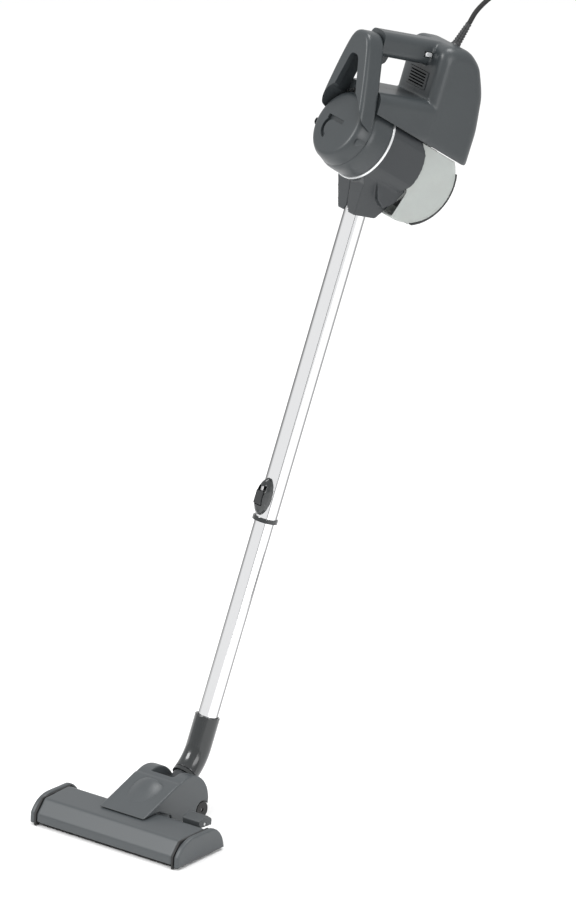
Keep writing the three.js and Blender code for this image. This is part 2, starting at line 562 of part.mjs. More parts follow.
const [pinY, pinZ] = at(HINGE.angle, HINGE.radius);
const lugFoot = polygon([
  at(HINGE.angle - 1.8, 63.6), at(HINGE.angle - 1.8, HINGE.radius),
  at(HINGE.angle + 0.6, HINGE.radius), at(HINGE.angle + 0.6, 63.6),
]);
const lugs = [1, -1].map((sign) => {
  const [x0, x1] = [sign * (HINGE.halfWidth + GAP), sign * HINGE.lug].sort((a, b) => a - b);
  return join(slab(lugFoot, x0, x1), bar(pinY, pinZ, HINGE.barrel, x0, x1));
});
piece(hand, 'dust_cup', 'smoke', cut(
  join(
    cut(
      cupShape.intersect(belowCup), cheekClear, bellyClear, cupRoom,
      slab(emptying, -CUP.halfWidth + 8, CUP.halfWidth - 8),
    ),
    ...lugs,
  ),
  bar(pinY, pinZ, HINGE.pin + 0.02, -FAR, FAR),
));
const coverShape = new THREE.Shape();
coverShape.absarc(CUP.y, CUP.z, COVER.outer, rad(COVER.from), rad(COVER.to), false);
coverShape.absarc(CUP.y, CUP.z, COVER.inner, rad(COVER.to), rad(COVER.from), true);
coverShape.closePath();
piece(hand, 'cup_cover', 'black', cut(
  join(
    cut(
      slab(coverShape, -COVER.halfWidth, COVER.halfWidth, 0, 24),
      bar(pinY, pinZ, HINGE.barrel + GAP, HINGE.halfWidth, HINGE.lug + GAP),
      bar(pinY, pinZ, HINGE.barrel + GAP, -HINGE.lug - GAP, -HINGE.halfWidth),
    ),
    bar(pinY, pinZ, HINGE.barrel, -HINGE.halfWidth, HINGE.halfWidth),
  ),
  bar(pinY, pinZ, HINGE.bore, -FAR, FAR), cupShape,
));
piece(hand, 'cover_pin', 'steel', bar(pinY, pinZ, HINGE.pin, -HINGE.lug, HINGE.lug));
const [latchY, latchZ] = at(COVER.to - 6, COVER.outer + 3.4);
piece(hand, 'cover_latch', 'slateDark', cut(
  slab(roundPolygon([
    [latchY - 3, latchZ - 8], [latchY - 3, latchZ + 8], [latchY + 2.4, latchZ + 6], [latchY + 2.4, latchZ - 6],
  ], 1.6), -11, 11),
  bar(CUP.y, CUP.z, COVER.outer + GAP, -12, 12, 24),
));
piece(hand, 'cup_seal', 'rubber', placed(
  block(-30, 30, BODY.seam - 0.85, BODY.seam - 0.2, -96, -62), drumFrame,
));
piece(hand, 'cyclone_cone', 'slateDark', moved(turned(
  [[0, 0], [9, 0], [15, 26], [17, 30], [0, 30]], 24,
), 0, 76, 46));

// ---- Mains lead: strain relief, free run, coil on the floor and plug -------------------------
piece(hand, 'cord_boot', 'black', placed(cut(
  turned([[0, -3], [8, -3], [8, 0], [6, 2], [5.2, 14], [4.4, 36], [0, 36]], 20),
), bootFrame));
machine.updateMatrixWorld(true);
const toWorld = hand.matrixWorld;
const bootTip = bootAt.clone().addScaledVector(bootAxis, 36).applyMatrix4(toWorld);
const bootWay = bootAxis.clone().transformDirection(toWorld);

// The free run, chosen by hand: up out of the boot, over in one arc, down, and along the floor.
const route = [
  bootTip.clone().addScaledVector(bootWay, GAP),
  bootTip.clone().addScaledVector(bootWay, 22),
  vec(172, 600, 1114), vec(197, 640, 1128), vec(226, 680, 1124), vec(251, 713, 1100),
  vec(266, 733, 1062), vec(273, 744, 1010), vec(276, 748, 900), vec(277, 749, 760),
  vec(277, 749, 600), vec(277, 749, 440), vec(277, 749, 280), vec(278, 749, 160),
  vec(281, 749, 96), vec(291, 749, 56), vec(309, 749, 34), vec(331, 749, 26), vec(350, 749, 24.7),
];
const runLine = new THREE.CatmullRomCurve3(route, false, 'centripetal');
const rowHeight = 2 * CORD.radius;
const coilTop = CORD.rows * rowHeight + GAP;
const coilOuter = CORD.coilRadius + CORD.rows / 2 * rowHeight + GAP;
const coilInner = CORD.coilRadius - CORD.rows / 2 * rowHeight - GAP;
const coilAt = vec(CORD.x, CORD.y, 0);
const coilRing = moved(ring(coilOuter, coilInner, 0, coilTop, 40), coilAt.x, coilAt.y, 0);
const coilClear = moved(disc(coilOuter + GAP, -1, coilTop + GAP, 40), coilAt.x, coilAt.y, 0);
const tailX = coilAt.x + coilOuter - CORD.radius - GAP;
const tailEnd = 634;
const tailLine = new THREE.LineCurve3(vec(tailX, coilAt.y, CORD.radius), vec(tailX, tailEnd, CORD.radius));
piece(machine, 'mains_cord', 'cord', cut(sweep(runLine, CORD.radius, 8, 64), coilClear));
piece(machine, 'cord_coil', 'cord', coilRing);
piece(machine, 'cord_tail', 'cord', cut(sweep(tailLine, CORD.radius, 8, 4), coilClear));
const plugBody = turned([
  [0, 0], [4.6, 0], [5.6, 14], [7, 18], [12.6, 24], [13, 34], [13, 50], [11, 53], [0, 53],
], 20);
const plugPins = [-9.5, 9.5].map((x) => moved(disc(2.4, 52, 71, 12), x, 0, 0));
const flatPlug = cut(join(plugBody, ...plugPins), block(-FAR, FAR, -FAR, -9, -FAR, FAR),
  block(-FAR, FAR, 9, FAR, -FAR, FAR));
const plugFrame = new THREE.Matrix4().makeBasis(vec(1, 0, 0), vec(0, 0, 1), vec(0, -1, 0))
  .setPosition(tailX, tailEnd - GAP, 9.2);
piece(machine, 'mains_plug', 'black', placed(flatPlug, plugFrame));

export default machine;
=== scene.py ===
"""Looks of a corded stick vacuum cleaner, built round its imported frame.

Every length is in metres in the frame's own axes: +Z up, the nozzle's width along X, its front
edge towards -Y, and the origin on the floor under the nozzle.
"""

import json
import logging
import math
from collections.abc import Iterable, Sequence
from dataclasses import dataclass
from enum import Enum

import bmesh
import bpy
from mathutils import Matrix, Vector

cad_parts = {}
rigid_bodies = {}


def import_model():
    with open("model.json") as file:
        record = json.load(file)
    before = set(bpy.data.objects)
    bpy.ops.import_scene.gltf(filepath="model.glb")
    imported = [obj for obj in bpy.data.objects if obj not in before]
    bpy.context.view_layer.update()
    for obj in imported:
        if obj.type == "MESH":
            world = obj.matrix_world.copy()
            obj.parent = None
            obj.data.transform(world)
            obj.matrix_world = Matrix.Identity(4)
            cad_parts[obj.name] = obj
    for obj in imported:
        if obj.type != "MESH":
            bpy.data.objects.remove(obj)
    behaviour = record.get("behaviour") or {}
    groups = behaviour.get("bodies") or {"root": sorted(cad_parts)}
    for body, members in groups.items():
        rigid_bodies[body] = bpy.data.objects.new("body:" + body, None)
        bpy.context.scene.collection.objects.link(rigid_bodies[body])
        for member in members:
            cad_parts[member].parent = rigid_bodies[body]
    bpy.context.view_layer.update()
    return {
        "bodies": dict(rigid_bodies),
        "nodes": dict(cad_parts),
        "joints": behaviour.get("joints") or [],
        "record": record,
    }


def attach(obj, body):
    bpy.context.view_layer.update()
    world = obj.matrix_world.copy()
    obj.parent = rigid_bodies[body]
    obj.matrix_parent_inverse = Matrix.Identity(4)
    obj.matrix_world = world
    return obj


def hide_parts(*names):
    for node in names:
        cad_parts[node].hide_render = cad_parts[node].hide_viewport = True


LOG = logging.getLogger("vacuum")
MM = 0.001
FAR = 300.0  # millimetres, further than any part reaches from its own frame


# ---- Places ---------------------------------------------------------------------------------


@dataclass(frozen=True)
class Layout:
    """Driving sizes of the machine, in millimetres and degrees, and the places they give."""

    hub: tuple[float, float, float] = (0.0, 87.0, 28.0)
    neck_lean: float = 57.0
    tube_lean: float = 18.8
    turn: float = -20.0
    bend_radius: float = 62.0
    bend_start: float = 50.0
    elbow_straight: float = 44.0
    tube_length: float = 739.0
    drum_tilt: float = 16.7
    drum_y: float = -19.0
    drum_z: float = 105.0

    def lower_axis(self) -> Vector:
        """Direction of the elbow's lower pipe, up from the hub."""
        lean = math.radians(self.neck_lean)
        return Vector((0, math.sin(lean), math.cos(lean)))

    def tube_axis(self) -> Vector:
        """Direction of the tube, from the elbow to the hand unit."""
        lean = math.radians(self.tube_lean)
        straight = Vector((0, math.sin(lean), math.cos(lean)))
        return Matrix.Rotation(math.radians(self.turn), 3, "Z") @ straight

    def bend_angle(self) -> float:
        """Angle of the elbow's bend, in radians."""
        return self.lower_axis().angle(self.tube_axis())

    def elbow_point(self, distance: float) -> Vector:
        """Point on the elbow's centre line.

        Args:
            distance: millimetres from the start of the bend, negative below it.

        Returns:
            The point in metres.
        """
        low, high = self.lower_axis(), self.tube_axis()
        side = (high - low * high.dot(low)).normalized()
        start = Vector(self.hub) + low * self.bend_start
        arc = self.bend_radius * self.bend_angle()
        angle = min(max(distance, 0.0), arc) / self.bend_radius
        point = start + low * (self.bend_radius * math.sin(angle) + min(distance, 0.0))
        point += side * (self.bend_radius * (1 - math.cos(angle)))
        point += high * max(distance - arc, 0.0)
        return point * MM

    def arc_length(self) -> float:
        """Length of the elbow's bend in millimetres."""
        return self.bend_radius * self.bend_angle()

    def tube_foot(self) -> Vector:
        """Centre of the elbow's upper rim, in metres."""
        return self.elbow_point(self.arc_length() + self.elbow_straight)

    def tube_frame(self) -> Matrix:
        """Frame whose Z runs up the tube from the elbow's rim, X across it, in metres."""
        z = self.tube_axis()
        x = (Vector((1, 0, 0)) - z * z.x).normalized()
        return _basis(x, z.cross(x), z, self.tube_foot())

    def hand_frame(self) -> Matrix:
        """Frame of the hand unit: X across, Y to its back, Z along the tube, in metres."""
        turn = Matrix.Rotation(math.radians(self.turn), 4, "Z")
        tilt = Matrix.Rotation(-math.radians(self.tube_lean), 4, "X")
        top = self.tube_foot() + self.tube_axis() * (self.tube_length * MM)
        return Matrix.Translation(top) @ turn @ tilt

    def drum_frame(self) -> Matrix:
        """Frame of the drum in the hand unit: Z along its nose, Y up across it, in metres."""
        tilt = math.radians(self.drum_tilt)
        nose = Vector((0, -math.cos(tilt), math.sin(tilt)))
        up = Vector((0, math.sin(tilt), math.cos(tilt)))
        origin = Vector((0, self.drum_y, self.drum_z)) * MM
        return self.hand_frame() @ _basis(Vector((1, 0, 0)), up, nose, origin)


def _basis(x: Vector, y: Vector, z: Vector, origin: Vector) -> Matrix:
    """Matrix whose columns are three axes and an origin."""
    rows = [[x[i], y[i], z[i], origin[i]] for i in range(3)]
    return Matrix([*rows, [0, 0, 0, 1]])


# ---- Camera, light and floor ----------------------------------------------------------------


@dataclass(frozen=True)
class Studio:
    """Camera, soft light and floor."""

    azimuth: float = 39.0
    elevation: float = 20.8
    distance: float = 14.0
    lens: float = 402.6
    target: tuple[float, float, float] = (0.0515, 0.2914, 0.5007)

    def toward_camera(self) -> Vector:
        """Direction from the object to the camera."""
        a, e = math.radians(self.azimuth), math.radians(self.elevation)
        return Vector((math.sin(a) * math.cos(e), -math.cos(a) * math.cos(e), math.sin(e)))

    def place_camera(self) -> None:
        """Makes the camera and the scene's active camera."""
        data = bpy.data.cameras.new("camera")
        data.lens = self.lens
        data.clip_end = 100
        data.dof.use_dof = False
        camera = bpy.data.objects.new("camera", data)
        bpy.context.scene.collection.objects.link(camera)
        way = self.toward_camera()
        camera.location = Vector(self.target) + way * self.distance
        camera.rotation_euler = way.to_track_quat("Z", "Y").to_euler()
        bpy.context.scene.camera = camera

    def area(self, name: str, place: Sequence[float], size: float, power: float) -> None:
        """Adds one soft area light that looks at the machine.

        Args:
            name: the light's name.
            place: its position in metres.
            size: its side in metres.
            power: its power in watts.
        """
        data = bpy.data.lights.new(name, "AREA")
        data.size = size
        data.energy = power
        light = bpy.data.objects.new(name, data)
        light.location = place
        light.rotation_euler = (Vector(place) - Vector(self.target)).to_track_quat("Z", "Y").to_euler()
        bpy.context.scene.collection.objects.link(light)

    def light(self) -> None:
        """Sets the world's even light and the area lights."""
        world = bpy.data.worlds.new("studio")
        world.use_nodes = True
        background = world.node_tree.nodes["Background"]
        background.inputs["Color"].default_value = (1, 1, 1, 1)
        background.inputs["Strength"].default_value = 0.85
        bpy.context.scene.world = world
        bpy.context.scene.view_settings.view_transform = "Standard"
        self.area("key", (-1.6, -2.6, 3.0), 1.6, 90)
        self.area("fill", (3.2, -1.0, 1.6), 1.8, 40)
        self.area("top", (0.4, 0.9, 3.4), 1.4, 60)

    def card(self) -> None:
        """A narrow dark card beside the camera, which bright metal mirrors as a thin line."""
        toward, tube = self.toward_camera(), Layout().tube_axis()
        facing = (toward - tube * tube.dot(toward)).normalized()
        mirrored = facing * (2 * toward.dot(facing)) - toward
        across = tube.cross(facing).normalized()
        form = bmesh.new()
        bmesh.ops.create_grid(form, x_segments=1, y_segments=1, size=0.5)
        place = Vector(self.target) + mirrored * 3.0 + across * 0.75
        frame = _basis(across, mirrored.cross(across).normalized(), mirrored, place)
        card = object_from("dark_card", form, frame @ Matrix.Diagonal((0.22, 6.0, 1, 1)))
        card.visible_camera = False
        card.visible_shadow = False
        card.visible_diffuse = False
        material = bpy.data.materials.new("card_black")
        material.use_nodes = True
        material.node_tree.nodes["Principled BSDF"].inputs["Base Color"].default_value = (0, 0, 0, 1)
        card.data.materials.append(material)

    def floor(self) -> None:
        """Makes the plain pale floor."""
        mesh = bpy.data.meshes.new("floor")
        form = bmesh.new()
        bmesh.ops.create_grid(form, x_segments=1, y_segments=1, size=14)
        form.to_mesh(mesh)
        form.free()
        floor = bpy.data.objects.new("floor", mesh)
        bpy.context.scene.collection.objects.link(floor)
        material = bpy.data.materials.new("floor_paint")
        material.use_nodes = True
        shader = material.node_tree.nodes["Principled BSDF"]
        shader.inputs["Base Color"].default_value = (0.93, 0.93, 0.93, 1)
        shader.inputs["Roughness"].default_value = 0.9
        mesh.materials.append(material)

    def build(self) -> None:
        """Makes the camera, the lights and the floor."""
        self.place_camera()
        self.light()
        self.card()
        self.floor()


# ---- Mesh tools -----------------------------------------------------------------------------


FRAME: dict = {}


def object_from(name: str, form: bmesh.types.BMesh, matrix: Matrix | None = None) -> bpy.types.Object:
    """Turns a bmesh into an object at the origin, with its place in its mesh.

    Args:
        name: the object's name.
        form: the bmesh, which is freed.
        matrix: where the mesh goes, or None if it is in place already.

    Returns:
        The new object.
    """
    if matrix is not None:
        bmesh.ops.transform(form, matrix=matrix, verts=form.verts)
    bmesh.ops.remove_doubles(form, verts=form.verts, dist=1e-6)
    bmesh.ops.recalc_face_normals(form, faces=form.faces)
    mesh = bpy.data.meshes.new(name)
    form.to_mesh(mesh)
    form.free()
    thing = bpy.data.objects.new(name, mesh)
    bpy.context.scene.collection.objects.link(thing)
    return thing


def copy_of(node: str, name: str) -> bpy.types.Object:
    """A merged copy of a frame node, free to be worked on."""
    form = bmesh.new()
    form.from_mesh(FRAME["nodes"][node].data)
    return object_from(name, form)


def evaluate(thing: bpy.types.Object) -> bpy.types.Object:
    """Applies an object's modifiers to its mesh and removes them."""
    graph = bpy.context.evaluated_depsgraph_get()
    graph.update()
    mesh = bpy.data.meshes.new_from_object(thing.evaluated_get(graph))
    thing.modifiers.clear()
    old, thing.data = thing.data, mesh
    mesh.name = thing.name
    bpy.data.meshes.remove(old)
    return thing


def remeshed(thing: bpy.types.Object, voxel: float, smoothing: int) -> bpy.types.Object:
    """Melts a closed form, or several that overlap, into one skin with rounded edges.

    Args:
        thing: the object.
        voxel: voxel size in millimetres.
        smoothing: how many smoothing steps round its edges.

    Returns:
        The same object.
    """
    step = thing.modifiers.new("melt", "REMESH")
    step.mode = "VOXEL"
    step.voxel_size = voxel * MM
    step.adaptivity = 0.0
    if smoothing:
        soften = thing.modifiers.new("soften", "SMOOTH")
        soften.factor = 0.5
        soften.iterations = smoothing
    evaluate(thing)
    shade(thing)
    return thing


def shade(thing: bpy.types.Object, angle: float | None = None) -> bpy.types.Object:
    """Smooth shading, with edges sharper than an angle kept sharp where one is given."""
    mesh = thing.data
    mesh.polygons.foreach_set("use_smooth", [True] * len(mesh.polygons))
    if angle is not None:
        mesh.set_sharp_from_angle(angle=math.radians(angle))
    return thing


def cut_by(thing: bpy.types.Object, *cutters: bpy.types.Object) -> bpy.types.Object:
    """Subtracts cutters from an object and removes them."""
    for cutter in cutters:
        step = thing.modifiers.new("cut", "BOOLEAN")
        step.operation = "DIFFERENCE"
        step.solver = "MANIFOLD"
        step.object = cutter
    evaluate(thing)
    for cutter in cutters:
        discard(cutter)
    return thing


def only_within(thing: bpy.types.Object, other: bpy.types.Object) -> bpy.types.Object:
    """Keeps the part of an object that lies inside another, which is removed."""
    step = thing.modifiers.new("within", "BOOLEAN")
    step.operation = "INTERSECT"
    step.solver = "MANIFOLD"
    step.object = other
    evaluate(thing)
    discard(other)
    return thing


def discard(thing: bpy.types.Object) -> None:
    """Removes a helper object and its mesh."""
    mesh = thing.data
    bpy.data.objects.remove(thing)
    bpy.data.meshes.remove(mesh)


def joined(name: str, *things: bpy.types.Object) -> bpy.types.Object:
    """One object from several, which are removed."""
    form = bmesh.new()
    for thing in things:
        form.from_mesh(thing.data)
        discard(thing)
    mesh = bpy.data.meshes.new(name)
    form.to_mesh(mesh)
    form.free()
    result = bpy.data.objects.new(name, mesh)
    bpy.context.scene.collection.objects.link(result)
    return result


def halved(thing: bpy.types.Object, frame: Matrix, gap: float, left: str, right: str) -> list[bpy.types.Object]:
    """Splits a form down a frame's X = 0 plane into two closed halves with a hair seam.

    Args:
        thing: the object, which is removed.
        frame: the frame whose X = 0 plane is the split.
        gap: width of the seam in millimetres.
        left: name of the half on the +X side.
        right: name of the half on the -X side.

    Returns:
        The left and the right half.
    """
    halves = []
    for name, sign in ((left, 1), (right, -1)):
        form = bmesh.new()
        form.from_mesh(thing.data)
        normal = frame.to_3x3() @ Vector((sign, 0, 0))
        point = frame @ Vector((sign * gap * MM / 2, 0, 0))
        cut = bmesh.ops.bisect_plane(
            form, geom=[*form.verts, *form.edges, *form.faces], plane_co=point, plane_no=-normal,
            clear_outer=True,
        )
        rim = [e for e in cut["geom_cut"] if isinstance(e, bmesh.types.BMEdge)]
        bmesh.ops.holes_fill(form, edges=rim)
        half = object_from(name, form)
        shade(half, 40)
        halves.append(half)
    discard(thing)
    return halves


def slab(
    name: str, outline: Sequence[tuple[float, float]], x0: float, x1: float, frame: Matrix,
    rim: float = 0.0, corner: float = 0.0, steps: int = 5,
) -> bpy.types.Object:
    """A profile in a frame's Y-Z plane swept along X, with rounded corners and rims.

    Args:
        name: the object's name.
        outline: the profile's points in millimetres.
        x0: where it starts along X, in millimetres.
        x1: where it ends along X, in millimetres.
        frame: the frame.
        rim: radius of the edges round its two sides, in millimetres.
        corner: radius of the profile's corners, in millimetres.
        steps: segments of each rounding.

    Returns:
        The slab.
    """
    points = rounded(outline, corner, steps) if corner else list(outline)
    low = [min(p[i] for p in points) for i in (0, 1)]
    high = [max(p[i] for p in points) for i in (0, 1)]
    centre = [(low[i] + high[i]) / 2 for i in (0, 1)]
    half = [(high[i] - low[i]) / 2 for i in (0, 1)]
    turns = [math.pi / 2 * k / steps for k in range(steps + 1)] if rim else [math.pi / 2]
    near = [(x0 + rim * (1 - math.cos(t)) if rim else x0, rim * (1 - math.sin(t))) for t in turns]
    stations = near + [(x0 + x1 - x, inset) for x, inset in reversed(near)]
    form = bmesh.new()
    rings = []
    for x, inset in stations:
        share = [(half[i] - inset) / half[i] for i in (0, 1)]
        rings.append([
            form.verts.new((
                x * MM, (centre[0] + (y - centre[0]) * share[0]) * MM,
                (centre[1] + (z - centre[1]) * share[1]) * MM,
            ))
            for y, z in points
        ])
    for first, second in zip(rings, rings[1:]):
        for k in range(len(points)):
            n = (k + 1) % len(points)
            form.faces.new((first[k], first[n], second[n], second[k]))
    form.faces.new(rings[0])
    form.faces.new(rings[-1])
    bmesh.ops.recalc_face_normals(form, faces=form.faces)
    return object_from(name, form, frame)


def rounded(outline: Sequence[tuple[float, float]], radius: float, steps: int) -> list[tuple[float, float]]:
    """A polygon with each corner turned into a short curve.

    Args:
        outline: the polygon's points.
        radius: how far before and after a corner its curve starts and ends.
        steps: segments of each curve.

    Returns:
        The new points.
    """
    points = []
    count = len(outline)
    for i, corner in enumerate(outline):
        here, last, after = (Vector(p) for p in (corner, outline[i - 1], outline[(i + 1) % count]))
        reach_in = min(radius, (last - here).length * 0.48)
        reach_out = min(radius, (after - here).length * 0.48)
        start = here + (last - here).normalized() * reach_in
        end = here + (after - here).normalized() * reach_out
        for k in range(steps + 1):
            t = k / steps
            point = start * (1 - t) ** 2 + here * (2 * t * (1 - t)) + end * t**2
            points.append((point.x, point.y))
    return points


def turned(
    name: str, profile: Sequence[tuple[float, float]], frame: Matrix, segments: int = 96,
) -> bpy.types.Object:
    """A profile of (radius, height) points in millimetres turned about a frame's Z.

    Args:
        name: the object's name.
        profile: the points; ends on the axis are closed, other ends are joined to each other.
        frame: the frame.
        segments: how many faces go round.

    Returns:
        The turned form.
    """
    form = bmesh.new()
    rings = []
    for radius, height in profile:
        if radius < 1e-6:
            rings.append([form.verts.new((0, 0, height * MM))])
            continue
        rings.append([
            form.verts.new((
                radius * MM * math.cos(2 * math.pi * k / segments),
                radius * MM * math.sin(2 * math.pi * k / segments), height * MM,
            ))
            for k in range(segments)
        ])
    pairs = list(zip(rings, rings[1:]))
    if profile[0][0] > 1e-6:
        pairs.append((rings[-1], rings[0]))
    for low, high in pairs:
        for k in range(segments):
            n = (k + 1) % segments
            corners = [low[k % len(low)], low[n % len(low)], high[n % len(high)], high[k % len(high)]]
            unique = list(dict.fromkeys(corners))
            if len(unique) > 2:
                form.faces.new(unique)
    return object_from(name, form, frame)


def block(name: str, low: Sequence[float], high: Sequence[float], frame: Matrix) -> bpy.types.Object:
    """A box between two corners in millimetres, in a frame."""
    form = bmesh.new()
    bmesh.ops.create_cube(form, size=1)
    for v in form.verts:
        v.co = Vector([(low[i] + (v.co[i] + 0.5) * (high[i] - low[i])) * MM for i in range(3)])
    return object_from(name, form, frame)


# ---- Finishes -------------------------------------------------------------------------------


class Pattern(Enum):
    """The surface patterns that the shared shader groups make."""

    GRAIN = "moulded_grain"
    STREAK = "drawn_streak"
    DUST = "settled_dust"


class Groups:
    """The shader groups that more than one finish uses, each built once."""

    def __init__(self) -> None:
        """Starts with no group made."""
        self.made: dict[Pattern, bpy.types.NodeTree] = {}

    def get(self, pattern: Pattern) -> bpy.types.NodeTree:
        """The group for a pattern."""
        if pattern not in self.made:
            builder = {
                Pattern.GRAIN: self._grain, Pattern.STREAK: self._streak, Pattern.DUST: self._dust,
            }[pattern]
            self.made[pattern] = builder()
        return self.made[pattern]

    @staticmethod
    def _tree(name: str, inputs: dict[str, float], outputs: Iterable[str]) -> bpy.types.NodeTree:
        """A new group with float inputs and outputs."""
        tree = bpy.data.node_groups.new(name, "ShaderNodeTree")
        for label, value in inputs.items():
            socket = tree.interface.new_socket(label, in_out="INPUT", socket_type="NodeSocketFloat")
            socket.default_value = value
        for label in outputs:
            tree.interface.new_socket(label, in_out="OUTPUT", socket_type="NodeSocketFloat")
        tree.nodes.new("NodeGroupInput")
        tree.nodes.new("NodeGroupOutput")
        return tree

    def _grain(self) -> bpy.types.NodeTree:
        """Spark-eroded mould grain: fine height, gloss that varies and broad tone."""
        tree = self._tree(Pattern.GRAIN.value, {"Scale": 900.0, "Spread": 0.06}, ("Height", "Gloss", "Tone"))
        nodes, links = tree.nodes, tree.links
        entry, leave = nodes["Group Input"], nodes["Group Output"]
        coords = nodes.new("ShaderNodeTexCoord")
        fine = nodes.new("ShaderNodeTexNoise")
        fine.inputs["Detail"].default_value = 3
        links.new(coords.outputs["Object"], fine.inputs["Vector"])
        links.new(entry.outputs["Scale"], fine.inputs["Scale"])
        broad = nodes.new("ShaderNodeTexNoise")
        broad.inputs["Scale"].default_value = 18
        broad.inputs["Detail"].default_value = 4
        links.new(coords.outputs["Object"], broad.inputs["Vector"])
        links.new(fine.outputs["Fac"], leave.inputs["Height"])
        spread = nodes.new("ShaderNodeMath")
        spread.operation = "MULTIPLY_ADD"
        links.new(broad.outputs["Fac"], spread.inputs[0])
        links.new(entry.outputs["Spread"], spread.inputs[1])
        spread.inputs[2].default_value = 0.0
        links.new(spread.outputs[0], leave.inputs["Gloss"])
        links.new(broad.outputs["Fac"], leave.inputs["Tone"])
        return tree

    def _streak(self) -> bpy.types.NodeTree:
        """Fine lengthwise streaks of drawn metal, along Z of the object."""
        tree = self._tree(Pattern.STREAK.value, {"Scale": 260.0, "Length": 0.02}, ("Height", "Gloss"))
        nodes, links = tree.nodes, tree.links
        entry, leave = nodes["Group Input"], nodes["Group Output"]
        coords = nodes.new("ShaderNodeTexCoord")
        stretch = nodes.new("ShaderNodeVectorMath")
        stretch.operation = "MULTIPLY"
        size = nodes.new("ShaderNodeCombineXYZ")
        size.inputs[0].default_value = 1
        size.inputs[1].default_value = 1
        links.new(entry.outputs["Length"], size.inputs[2])
        links.new(coords.outputs["Object"], stretch.inputs[0])
        links.new(size.outputs[0], stretch.inputs[1])
        noise = nodes.new("ShaderNodeTexNoise")
        noise.inputs["Detail"].default_value = 2
        links.new(stretch.outputs[0], noise.inputs["Vector"])
        links.new(entry.outputs["Scale"], noise.inputs["Scale"])
        links.new(noise.outputs["Fac"], leave.inputs["Height"])
        links.new(noise.outputs["Fac"], leave.inputs["Gloss"])
        return tree

    def _dust(self) -> bpy.types.NodeTree:
        """A cloudy mask of dust in random patches."""
        tree = self._tree(Pattern.DUST.value, {"Scale": 30.0, "Amount": 0.3}, ("Mask",))
        nodes, links = tree.nodes, tree.links
        entry, leave = nodes["Group Input"], nodes["Group Output"]
        coords = nodes.new("ShaderNodeTexCoord")
        noise = nodes.new("ShaderNodeTexNoise")
        noise.inputs["Detail"].default_value = 6
        noise.inputs["Roughness"].default_value = 0.65
        links.new(coords.outputs["Object"], noise.inputs["Vector"])
        links.new(entry.outputs["Scale"], noise.inputs["Scale"])
        ramp = nodes.new("ShaderNodeMapRange")
        ramp.inputs["From Min"].default_value = 0.42
        ramp.inputs["From Max"].default_value = 0.72
        links.new(noise.outputs["Fac"], ramp.inputs["Value"])
        amount = nodes.new("ShaderNodeMath")
        amount.operation = "MULTIPLY"
        links.new(ramp.outputs["Result"], amount.inputs[0])
        links.new(entry.outputs["Amount"], amount.inputs[1])
        links.new(amount.outputs[0], leave.inputs["Mask"])
        return tree


GROUPS = Groups()


